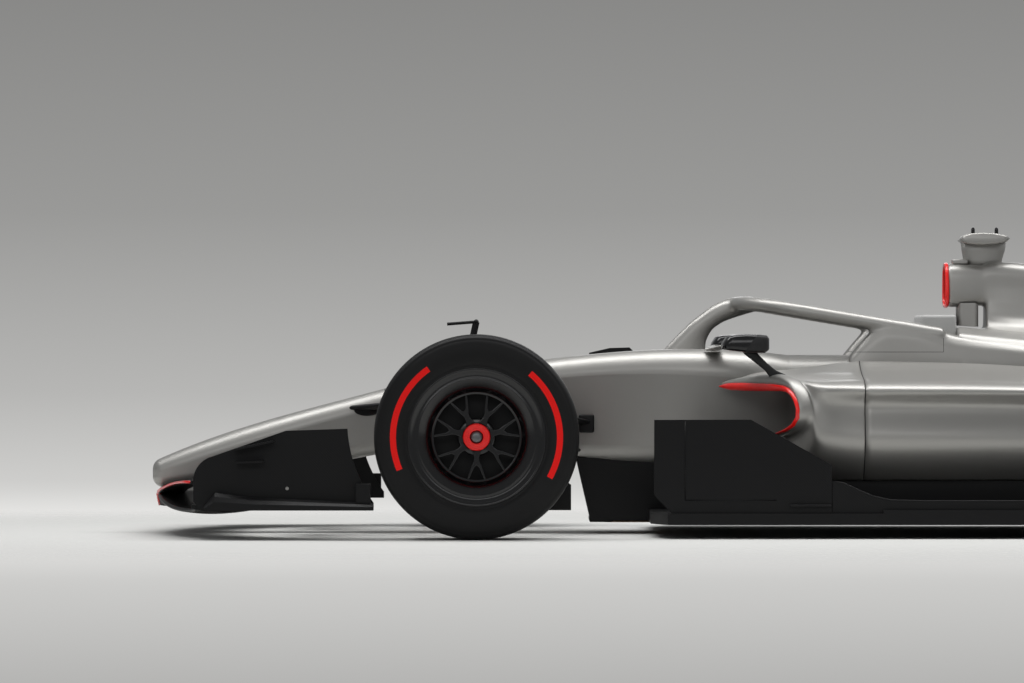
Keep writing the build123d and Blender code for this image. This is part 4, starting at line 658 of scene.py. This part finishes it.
# Columns: ahead of the inlet's plane, outward as a share of the brow
BROW_RINGS = [(0.010, 0.22), (0.0125, 0.50), (0.004, 0.86), (-0.014, 1.02), (-0.040, 1.08)]
RED_AHEAD, RED_DEPTH = 0.0125, 0.0105
# The airbox mouth: its place, half width at half height, narrowing upwards, middle and half height
MOUTH_X, MOUTH_HALF, MOUTH_FLARE, MOUTH_MIDDLE, MOUTH_RISE = 0.124, 0.080, 0.009, 0.880, 0.0745
MOUTH_STEPS, MOUTH_POWER, MOUTH_BEAD = 48, 0.62, (0.0070, 0.0065)


def lip_frames(side):
    """Place, way ahead, way outward, brow and red half width of each station along one sidepod's lip."""
    along = INLET_RUN.normalized()
    ahead = Vector((-along.y, side * along.x, 0))
    spots = [INLET_START + INLET_RUN * row[0] for row in LIP_PATH]
    places = [Vector((spot.x, side * spot.y, row[1])) for spot, row in zip(spots, LIP_PATH)]
    frames = []
    for number, place in enumerate(places):
        run = places[min(number + 1, len(places) - 1)] - places[max(number - 1, 0)]
        frames.append((place, ahead, run.normalized().cross(ahead) * side, *LIP_PATH[number][2:]))
    return frames


def squared(value, power):
    """Pushes a sine or cosine outward, for rings between an oval and a rectangle."""
    return math.copysign(abs(value) ** power, value)


red_parts = [
    skinned([
        ring(place + ahead * RED_AHEAD, ahead * RED_DEPTH, outward * red, count=16)
        for place, ahead, outward, brow, red in lip_frames(side)
    ])
    for side_name, side in SIDES
]
mouth = []
for step in range(MOUTH_STEPS):
    turn = 2 * math.pi * step / MOUTH_STEPS
    out, up = squared(math.cos(turn), MOUTH_POWER), squared(math.sin(turn), MOUTH_POWER)
    mouth.append(Vector((MOUTH_X, out * (MOUTH_HALF - MOUTH_FLARE * up), MOUTH_MIDDLE + up * MOUTH_RISE)))
mouth_rings = []
for number, place in enumerate(mouth):
    run = (mouth[(number + 1) % MOUTH_STEPS] - mouth[number - 1]).normalized()
    outward = run.cross(Vector((1, 0, 0)))
    mouth_rings.append(ring(place, Vector((MOUTH_BEAD[0], 0, 0)), outward * MOUTH_BEAD[1], count=12))
red_parts.append(skinned(mouth_rings, closed=True))
lip_red = satin_metal("lip_red", RED_PAINT, 0.0, 0.30, coat=0.4)
new_mesh_object("inlet_red_lips", joined(*red_parts), "chassis", lip_red)

# Sidepods and engine cover: thin carbon shells over the radiators and the engine, in the body's silver paint.
# Each sidepod shell is screwed to the tub and meets the engine cover at a fine gap; a ridge runs along both.
# Columns of both: along the car at the inside, slant, inner y, inner height, ridge y, ridge height, foot y, hollow
POD_ROWS = [
    (-0.560, 0.45, 0.303, 0.576, 0.716, 0.540, 0.566, 0.004), (-0.450, 0.29, 0.302, 0.580, 0.712, 0.539, 0.568, 0.010),
    (-0.360, 0.15, 0.300, 0.592, 0.706, 0.538, 0.570, 0.018), (-0.280, 0.06, 0.298, 0.604, 0.701, 0.537, 0.571, 0.025),
    (-0.200, 0.0, 0.296, 0.612, 0.697, 0.535, 0.572, 0.030),
]
COVER_ROWS = [
    (-0.200, 0.0, 0.296, 0.612, 0.697, 0.535, 0.572, 0.030), (0.000, 0.0, 0.285, 0.611, 0.688, 0.534, 0.560, 0.038),
    (0.300, 0.0, 0.260, 0.607, 0.666, 0.532, 0.535, 0.042), (0.600, 0.0, 0.200, 0.592, 0.614, 0.522, 0.495, 0.036),
    (0.900, 0.0, 0.150, 0.548, 0.524, 0.490, 0.430, 0.026), (1.200, 0.0, 0.100, 0.490, 0.370, 0.440, 0.292, 0.012),
    (1.480, 0.0, 0.050, 0.425, 0.200, 0.385, 0.140, 0.004),
]
POD_FOOT_GAP, POD_SKIN = 0.001, 0.014
POD_FOOT_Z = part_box("sidepod_left")[0][2] + POD_FOOT_GAP
# Columns: share of the way from the inner edge to the ridge, share of the drop
POD_TOP_SHAPE = [(0.0, 0.0), (0.22, 0.42), (0.48, 0.66), (0.74, 0.80), (0.92, 0.95)]
# Columns: share of the hollow, outward beyond the ridge, drop below the ridge as a share of the flank
POD_RIDGE_SHAPE = [
    (0.0, 0.0, 0.045), (0.0, 0.005, 0.092), (0.35, 0.0, 0.145), (0.85, 0.0, 0.200), (1.0, 0.0, 0.260),
    (0.75, 0.0, 0.345), (0.35, 0.0, 0.450), (0.10, 0.0, 0.570),
]
# Columns: share of the way from ridge to foot, drop below the ridge as a share of the flank
POD_FLANK_SHAPE = [(0.18, 0.710), (0.52, 0.860), (1.0, 1.0)]
# Above this height a sheet's outside looks up
SHEET_TOP_Z = 0.53


def pod_ring(row, side):
    """Points across one flank: the sloping top, the ridge with the hollow under it and the tucked-in side."""
    x, slant, inner, inner_z, ridge, ridge_z, foot, hollow = row
    tall = ridge_z - POD_FOOT_Z
    across = [(inner + (ridge - inner) * u, inner_z - (inner_z - ridge_z) * v) for u, v in POD_TOP_SHAPE]
    across += [(ridge - hollow * u + out, ridge_z - drop * tall) for u, out, drop in POD_RIDGE_SHAPE]
    across += [(ridge + (foot - ridge) * u, ridge_z - drop * tall) for u, drop in POD_FLANK_SHAPE]
    return [Vector((x + slant * (y - inner), side * y, z)) for y, z in across]


def sheet(rings):
    """Bridges a row of open chains of points into one open sheet that faces outward."""
    made = bmesh.new()
    chains = []
    for points in rings:
        corners = [made.verts.new(point) for point in points]
        chains.append([made.edges.new(pair) for pair in zip(corners, corners[1:])])
    for first, second in zip(chains, chains[1:]):
        bmesh.ops.bridge_loops(made, edges=first + second)
    bmesh.ops.recalc_face_normals(made, faces=made.faces)
    top = [face for face in made.faces if face.calc_center_median().z > SHEET_TOP_Z]
    if sum(face.normal.z * face.calc_area() for face in top) < 0:
        bmesh.ops.reverse_faces(made, faces=made.faces)
    for face in made.faces:
        face.smooth = True
    return made


def moulded(piece):
    """Gives a sheet a smooth surface and then its wall, inward."""
    smooth = piece.modifiers.new("smooth", "SUBSURF")
    smooth.levels = smooth.render_levels = 3
    smooth.boundary_smooth = "PRESERVE_CORNERS"
    wall = piece.modifiers.new("wall", "SOLIDIFY")
    wall.thickness, wall.offset = POD_SKIN, -1


cover_parts = []
for side_name, side in SIDES:
    frames = lip_frames(side)
    rings = [
        [place + ahead * far + outward * share * brow for place, ahead, outward, brow, red in frames]
        for far, share in BROW_RINGS
    ]
    rings += [pod_ring(row, side) for row in POD_ROWS]
    pod = new_mesh_object(f"sidepod_skin_{side_name}", sheet(rings), "chassis", pod_paint)
    moulded(pod)
    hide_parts(f"sidepod_{side_name}")
    cover_parts.append(sheet([pod_ring(row, side) for row in COVER_ROWS]))
flanks = new_mesh_object("engine_cover_flanks", joined(*cover_parts), "chassis", pod_paint)
moulded(flanks)

# Columns: along the car, top, half width at the top, half width where it flares, height of the flare
SPINE_ROWS = [
    (0.262, 0.963, 0.074, 0.110, 0.720), (0.300, 0.964, 0.073, 0.160, 0.705), (0.360, 0.962, 0.071, 0.190, 0.697),
    (0.450, 0.953, 0.067, 0.200, 0.690), (0.700, 0.915, 0.056, 0.190, 0.665), (1.000, 0.867, 0.044, 0.170, 0.632),
    (1.300, 0.775, 0.040, 0.130, 0.580), (1.600, 0.664, 0.044, 0.100, 0.520), (1.787, 0.588, 0.060, 0.072, 0.480),
]
# Columns: share of the way from the top's half width to the flare's, share of the height between flare and top
SPINE_SHAPE = [(1.0, -0.40), (1.0, 0.0), (0.62, 0.06), (0.34, 0.14), (0.15, 0.26), (0.05, 0.45), (0.0, 0.66)]
# Columns: share of the top's half width, share of the height between flare and top
SPINE_CROWN = [(1.0, 0.84), (0.92, 0.92), (0.72, 0.975), (0.40, 1.0)]
# Columns: along the car, half width at the top, half width low down, lowest, highest
SHOULDER_ROWS = [
    (0.150, 0.205, 0.285, 0.480, 0.733), (0.400, 0.180, 0.268, 0.460, 0.708), (0.650, 0.152, 0.250, 0.440, 0.682),
    (0.900, 0.128, 0.230, 0.420, 0.650), (1.300, 0.088, 0.160, 0.400, 0.590), (1.600, 0.060, 0.110, 0.380, 0.535),
]
# Columns: share of the low half width, share of the top's half width added to it, share of the height
SHOULDER_SHAPE = [(1, 0, 0), (1, 0, 0.5), (0.97, 0, 0.72), (0.5, 0.5, 0.9), (0, 0.9, 1)]
AIRBOX_MIDDLE, AIRBOX_HALF, AIRBOX_RISE, AIRBOX_POWER = 0.880, 0.081, 0.0775, 0.55
# Columns: along the car, inset of the airbox; its outside to the rear, then its duct back to the mouth
AIRBOX_ROWS = [
    (0.126, 0.0), (0.170, 0.0), (0.220, 0.003), (0.275, 0.008), (0.340, 0.016), (0.300, 0.018), (0.220, 0.018),
    (0.170, 0.018), (0.126, 0.018),
]
COVER_VOXEL, COVER_ROUNDS = 0.0065, 14


def arch(x, half):
    """A closed ring across the car from the points of its right half."""
    return [Vector((x, y, z)) for y, z in half] + [Vector((x, -y, z)) for y, z in half[::-1]]


def spine_ring(x, top, half, flare, flare_z):
    """A closed ring across the spine, flared at its foot."""
    edge = [(half + (flare - half) * u, flare_z + (top - flare_z) * v) for u, v in SPINE_SHAPE]
    return arch(x, edge + [(half * u, flare_z + (top - flare_z) * v) for u, v in SPINE_CROWN])


def shoulder_ring(x, half, low_half, low, high):
    """A closed ring across both shoulders under the spine."""
    return arch(x, [(low_half * a + half * b, low + (high - low) * up) for a, b, up in SHOULDER_SHAPE])


def airbox_ring(x, inset):
    """A closed ring round the airbox, drawn in by the inset."""
    half, rise = AIRBOX_HALF - inset, AIRBOX_RISE - inset
    return [
        Vector((x, half * squared(p.y, AIRBOX_POWER), AIRBOX_MIDDLE + rise * squared(p.z, AIRBOX_POWER)))
        for p in ring(Vector((0, 0, 0)), Vector((0, 1, 0)), Vector((0, 0, 1)), count=32)
    ]


spine = skinned([spine_ring(*row) for row in SPINE_ROWS])
shoulders = skinned([shoulder_ring(*row) for row in SHOULDER_ROWS])
airbox = skinned([airbox_ring(*row) for row in AIRBOX_ROWS], closed=True)
spine_parts = joined(spine, shoulders, airbox)
spine_skin = new_mesh_object("engine_cover_spine", spine_parts, "chassis", pod_paint)
melted(spine_skin, COVER_VOXEL, COVER_ROUNDS)
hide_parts("engine_cover")

# Cockpit: a carbon seat under a thin foam liner, a pale pad behind the helmet and one at each side of it.
# The liners are sewn over foam and held by hook tape, so they lift out with the seat.
# Columns: low corner, high corner of each headrest pad
HEAD_PADS = [
    ((0.022, -0.186, 0.640), (0.150, 0.186, 0.774)), ((-0.150, -0.214, 0.610), (0.030, -0.188, 0.712)),
    ((-0.150, 0.188, 0.610), (0.030, 0.214, 0.712)),
]
PAD_EDGE = 0.011
# Columns: along the car, height; the seat's top seen from the side
SEAT_TOP = [
    (-0.538, 0.192), (-0.430, 0.178), (-0.330, 0.168), (-0.240, 0.182), (-0.150, 0.203), (-0.090, 0.222),
    (-0.068, 0.290), (-0.040, 0.380), (-0.012, 0.470), (0.009, 0.538),
]
# Columns: across the car, rise of the seat there
SEAT_ACROSS = [
    (-0.192, 0.030), (-0.176, 0.028), (-0.140, 0.008), (-0.070, 0.001), (0.0, 0.0), (0.070, 0.001), (0.140, 0.008),
    (0.176, 0.028), (0.192, 0.030),
]
SHELL_THICKNESS, LINER_THICKNESS, LINER_LIFT = 0.030, 0.012, (-0.004, 0, 0.010)
# The sides lean forward by a share of their rise, and the underside lies back by a share of the thickness
SIDE_LEAN, UNDER_BACK = 0.4, 0.5


def soft_block(one, other, edge):
    """A box with rounded edges between two corners."""
    low, high = Vector(map(min, one, other)), Vector(map(max, one, other))
    block = bmesh.new()
    bmesh.ops.create_cube(block, size=1.0)
    bmesh.ops.scale(block, verts=block.verts, vec=high - low)
    bmesh.ops.translate(block, verts=block.verts, vec=(low + high) / 2)
    bmesh.ops.bevel(block, geom=block.edges[:], offset=edge, segments=5, profile=0.5, affect="EDGES", material=-1)
    for face in block.faces:
        face.smooth = True
    return block


def woven(name, dark, light):
    """Matte cover cloth with a fine weave in its colour and surface."""
    material, tree, shader, place = new_material(name)
    weave = use(tree, twill, {"Place": place, "Tows": 700.0})
    bump = add(tree, "Bump", {"Strength": 0.3, "Distance": 0.0005, "Height": (weave, "Height")})
    put(shader, {
        "Base Color": mix(tree, (weave, "Mask"), dark, light), "Normal": (bump, "Normal"), "Roughness": 0.85,
        "Sheen Weight": 0.2,
    })
    return material


def seat_sheet(thick):
    """The dished seat as a closed sheet of the given thickness below its surface."""
    rings = []
    for y, rise in SEAT_ACROSS:
        top = [Vector((x - rise * SIDE_LEAN, y, z + rise)) for x, z in SEAT_TOP]
        low = [Vector((x + thick * UNDER_BACK, y, z + rise - thick)) for x, z in SEAT_TOP]
        rings.append(top + low[::-1])
    return skinned(rings)


pad_cloth = woven("pad_cloth", (0.42, 0.42, 0.41), (0.50, 0.50, 0.49))
liner_cloth = woven("liner_cloth", (0.010, 0.010, 0.011), (0.020, 0.020, 0.021))
for number, (low, high) in enumerate(HEAD_PADS):
    pad = new_mesh_object(f"headrest_pad_{number}", soft_block(low, high, PAD_EDGE), "chassis", pad_cloth)
new_mesh_object("seat_shell", seat_sheet(SHELL_THICKNESS), "chassis", satin_carbon)
foam = seat_sheet(LINER_THICKNESS)
bmesh.ops.translate(foam, verts=foam.verts, vec=LINER_LIFT)
liner = new_mesh_object("seat_liner", foam, "chassis", liner_cloth)
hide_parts("seat")

# Camera and aerials: a wide camera bar on a tapered foot above the airbox, with a thin plate ahead of it.
# The bar is a painted moulding; the two stub aerials are black rubber, screwed in.
# Columns: along the car, height; the bar seen from the side
CAMERA_BAR = [
    (0.172, 1.040), (0.181, 1.055), (0.205, 1.0635), (0.250, 1.0665), (0.300, 1.0635), (0.334, 1.056),
    (0.346, 1.046), (0.335, 1.034), (0.295, 1.026), (0.250, 1.023), (0.205, 1.026), (0.182, 1.032),
]
CAMERA_MIDDLE, CAMERA_BAR_HALF = (0.251, 1.045), 0.095
# Columns: share of the bar's half width, size of the bar there
CAMERA_WIDTHS = [(-1.0, 0.80), (-0.985, 0.93), (-0.93, 1.0), (0.93, 1.0), (0.985, 0.93), (1.0, 0.80)]
# Columns: height, front, rear, half width of the foot
CAMERA_FOOT_ROWS = [
    (0.945, 0.190, 0.322, 0.030), (0.972, 0.186, 0.325, 0.030), (1.000, 0.181, 0.334, 0.033),
    (1.042, 0.176, 0.342, 0.040),
]
# Columns: one corner, the other, rounding of the edges
CAMERA_PLATE = ((0.146, -0.045, 0.956), (0.200, 0.045, 0.972), 0.004)
AERIALS = (0.2215, 0.3050)
# Columns: height, radius of an aerial
AERIAL_ROWS = [(1.058, 0.0070), (1.080, 0.0065), (1.085, 0.0050), (1.087, 0.0025)]
camera_bar = slab(CAMERA_BAR, CAMERA_MIDDLE, [(y * CAMERA_BAR_HALF, size) for y, size in CAMERA_WIDTHS])
camera_foot = skinned([
    ring(Vector(((front + rear) / 2, 0, z)), Vector(((rear - front) / 2, 0, 0)), Vector((0, half, 0)), count=24)
    for z, front, rear, half in CAMERA_FOOT_ROWS
])
camera_parts = joined(camera_bar, camera_foot, soft_block(*CAMERA_PLATE))
camera_skin = new_mesh_object("camera_housing", camera_parts, "chassis", halo_paint)
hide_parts("onboard_camera")
stubs = [
    skinned([ring(Vector((x, 0, z)), Vector((size, 0, 0)), Vector((0, size, 0)), count=16) for z, size in AERIAL_ROWS])
    for x in AERIALS
]
new_mesh_object("aerial_stubs", joined(*stubs), "chassis", wheel_black)

# Wing, keel and board trim: a red painted leading edge, black root fairings on the wishbones and thin folded edges.
# The trim is bonded to the carbon pieces; the fin along the floor's edge is a single curved strip.
# Columns: along the car, distance from the middle, height
WING_EDGE = [
    (-2.678, 0.0, 0.100), (-2.679, 0.04, 0.115), (-2.680, 0.10, 0.138), (-2.674, 0.15, 0.150), (-2.660, 0.22, 0.161),
    (-2.622, 0.37, 0.178), (-2.595, 0.50, 0.187), (-2.560, 0.68, 0.194), (-2.528, 0.859, 0.198),
]
# Columns: behind the leading edge, above it; the leading element's section
SLAT_SECTION = [
    (0.0, 0.0), (0.006, 0.005), (0.025, 0.008), (0.060, 0.006), (0.095, 0.000), (0.095, -0.002), (0.060, -0.004),
    (0.020, -0.006), (0.005, -0.004),
]
WING_EDGE_RADIUS = 0.0045
# Columns: along the car, height of the fin's top
FLOOR_FIN = [
    (-0.318, 0.199), (-0.280, 0.192), (-0.235, 0.171), (-0.180, 0.147), (-0.117, 0.133), (0.0, 0.130), (0.250, 0.130),
    (0.500, 0.130), (0.800, 0.125), (1.0, 0.118),
]
FIN_Y, FIN_OUT, FIN_LOW, FIN_BEAD, FIN_THICKNESS = 0.779, 0.002, 0.084, 0.0032, 0.004
# The wishbone's root fairing: place and half size, then rows of distance from the middle and size there
ROOT_X, ROOT_Z, ROOT_HALF_CHORD, ROOT_HALF_HEIGHT = -1.9355, 0.437, 0.046, 0.021
ROOT_ROWS = [(0.080, 1.0), (0.125, 1.0), (0.131, 0.90), (0.133, 0.72)]
# Columns: one corner, the other, rounding of the edges
ROD_ROOT = ((-1.186, 0.150, 0.358), (-1.131, 0.209, 0.422), 0.007)
BOARD_STEP = ((-0.465, 0.776, 0.111), (-0.322, 0.802, 0.119), 0.003)
PLANK_FOOT = ((-1.147, -0.150, 0.0405), (-0.700, 0.150, 0.058), 0.004)
# Columns: along the car, height; the two raised lines on each board
BOARD_LINES = [
    [(-0.825, 0.135), (-0.825, 0.270), (-0.825, 0.405)], [(-0.825, 0.133), (-0.670, 0.133), (-0.511, 0.133)],
]
BOARD_Y, BOARD_BEAD = 0.7825, 0.0020
# A direction that no rod runs along
ASKEW = Vector((0.31, 0.42, 0.85))


def rod(points, radius):
    """A round rod through a row of points."""
    rings = []
    for number, point in enumerate(points):
        run = points[min(number + 1, len(points) - 1)] - points[max(number - 1, 0)]
        first = run.cross(ASKEW).normalized()
        rings.append(ring(point, first * radius, run.normalized().cross(first) * radius, count=12))
    return skinned(rings)


def side_block(one, other, edge, side):
    """A rounded box on one side of the car."""
    return soft_block((one[0], side * one[1], one[2]), (other[0], side * other[1], other[2]), edge)


edge_points = [Vector((x, -y, z)) for x, y, z in WING_EDGE[:0:-1]] + [Vector(row) for row in WING_EDGE]
slat = skinned([[point + Vector((back, 0, up)) for back, up in SLAT_SECTION] for point in edge_points])
new_mesh_object("front_wing_leading_element", slat, "chassis", satin_carbon)
new_mesh_object("front_wing_red_edge", rod(edge_points, WING_EDGE_RADIUS), "chassis", lip_red)

trim_parts = []
for side_name, side in SIDES:
    trim_parts.append(skinned([
        ring(
            Vector((ROOT_X, side * y, ROOT_Z)), Vector((ROOT_HALF_CHORD * size, 0, 0)),
            Vector((0, 0, ROOT_HALF_HEIGHT * size)), count=24,
        )
        for y, size in ROOT_ROWS
    ]))
    trim_parts.append(side_block(*ROD_ROOT, side))
    trim_parts.append(rod([Vector((x, side * FIN_Y, z)) for x, z in FLOOR_FIN], FIN_BEAD))
    fin = bmesh.new()
    upper = [fin.verts.new((x, side * (FIN_Y + FIN_OUT), z)) for x, z in FLOOR_FIN]
    lower = [fin.verts.new((x, side * (FIN_Y + FIN_OUT), FIN_LOW)) for x, z in FLOOR_FIN]
    for number in range(len(FLOOR_FIN) - 1):
        fin.faces.new((upper[number], upper[number + 1], lower[number + 1], lower[number]))
    bmesh.ops.recalc_face_normals(fin, faces=fin.faces)
    bmesh.ops.solidify(fin, geom=fin.faces, thickness=FIN_THICKNESS)
    bmesh.ops.recalc_face_normals(fin, faces=fin.faces)
    trim_parts.append(fin)
    for line in BOARD_LINES:
        trim_parts.append(rod([Vector((x, side * BOARD_Y, z)) for x, z in line], BOARD_BEAD))
    trim_parts.append(side_block(*BOARD_STEP, side))
trim_parts.append(soft_block(*PLANK_FOOT))
new_mesh_object("carbon_trim", joined(*trim_parts), "chassis", satin_carbon)

# Steering wheel: a carbon plate with two rubber grips, a blank screen, rotary knobs and coloured buttons.
# It clips onto the column by a quick-release collar behind the plate.
WHEEL_MIDDLE, WHEEL_AXIS = Vector((-0.528, 0.0, 0.520)), Vector((0.990268, 0.0, 0.139173))
WHEEL_UP = Vector((-0.139173, 0.0, 0.990268))
FACE_OUT = 0.017
# Columns: across, up, radius of the grip
GRIP_ROWS = [
    (0.112, 0.072, 0.012), (0.124, 0.050, 0.0165), (0.130, 0.020, 0.018), (0.130, -0.015, 0.018),
    (0.124, -0.045, 0.0165), (0.112, -0.068, 0.012),
]
GRIP_OUT, GRIP_DEPTH = 0.004, 1.15
SCREEN_UP, SCREEN_HALF = 0.036, (0.044, 0.026)
# Columns: out from the wheel's face, size of the screen there
SCREEN_ROWS = [(-0.004, 1.0), (0.003, 1.0), (0.004, 0.96)]
# Columns: across, up, radius of each button; the rows named in KNOBS are grey at both sides
BUTTONS = [
    (0.062, 0.050, 0.007), (0.062, 0.026, 0.007), (0.062, 0.002, 0.007), (0.050, -0.026, 0.009),
    (0.026, -0.044, 0.009), (0.086, 0.042, 0.006),
]
KNOBS = (3, 4)
# Columns: out from the wheel's face, size of a button there
BUTTON_ROWS = [(-0.004, 1.0), (0.0048, 1.0), (0.006, 0.75)]


def on_wheel(across, up, out):
    """A place on the steering wheel: across it, up it and out towards the driver."""
    return WHEEL_MIDDLE + Vector((0, across, 0)) + WHEEL_UP * up + WHEEL_AXIS * out


def knob(across, up, radius):
    """A short round button that stands on the wheel's face."""
    return skinned([
        ring(on_wheel(across, up, FACE_OUT + out), Vector((0, radius * size, 0)), WHEEL_UP * radius * size, count=16)
        for out, size in BUTTON_ROWS
    ])


grips = [
    skinned([
        ring(on_wheel(side * across, up, GRIP_OUT), Vector((0, radius, 0)), WHEEL_AXIS * radius * GRIP_DEPTH, count=16)
        for across, up, radius in GRIP_ROWS
    ])
    for side_name, side in SIDES
]
new_mesh_object("steering_grips", joined(*grips), "steering_wheel", liner_cloth)
screen = skinned([
    [
        on_wheel(a * SCREEN_HALF[0] * size, SCREEN_UP + u * SCREEN_HALF[1] * size, FACE_OUT + out)
        for a, u in ((-1, -1), (1, -1), (1, 1), (-1, 1))
    ]
    for out, size in SCREEN_ROWS
])
for face in screen.faces:
    face.smooth = False
new_mesh_object("steering_screen", screen, "steering_wheel", gloss)
red_buttons, grey_knobs = [], []
for side_name, side in SIDES:
    for number, (across, up, radius) in enumerate(BUTTONS):
        red = number not in KNOBS and (number + (side > 0)) % 2
        (red_buttons if red else grey_knobs).append(knob(side * across, up, radius))
new_mesh_object("steering_buttons", joined(*red_buttons), "steering_wheel", nut_red)
new_mesh_object("steering_knobs", joined(*grey_knobs), "steering_wheel", spindle_grey)

# Rain light: a red lens with rows of small light cells on the tail of the rear impact structure.
# The lens clips over a black case that is bolted to the structure.
LIGHT_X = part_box("rear_impact_structure")[1][0]
LIGHT_Z, LIGHT_HALF, LIGHT_TALL, LIGHT_ROWS, LIGHT_COLUMNS = 0.318, 0.030, 0.026, 5, 6
LENS_BACK, LENS_FRONT, LENS_EDGE = 0.004, 0.002, 0.002
# Columns: out from the structure's tail, radius of a cell
CELL_ROWS = [(0.0, 0.0038), (0.0035, 0.0034), (0.0048, 0.0015)]
rain_lens = satin_metal("rain_lens", (0.42, 0.008, 0.008), 0.0, 0.18, 0.04, 300.0, coat=0.6)
cells = [soft_block(
    (LIGHT_X - LENS_BACK, -LIGHT_HALF, LIGHT_Z - LIGHT_TALL), (LIGHT_X + LENS_FRONT, LIGHT_HALF, LIGHT_Z + LIGHT_TALL),
    LENS_EDGE,
)]
for row in range(LIGHT_ROWS):
    for column in range(LIGHT_COLUMNS):
        y = LIGHT_HALF * (2 * column + 1 - LIGHT_COLUMNS) / LIGHT_COLUMNS
        z = LIGHT_Z + LIGHT_TALL * (2 * row + 1 - LIGHT_ROWS) / LIGHT_ROWS
        cells.append(skinned([
            ring(Vector((LIGHT_X + out, y, z)), Vector((0, radius, 0)), Vector((0, 0, radius)), count=10)
            for out, radius in CELL_ROWS
        ]))
new_mesh_object("rain_light", joined(*cells), "chassis", rain_lens)
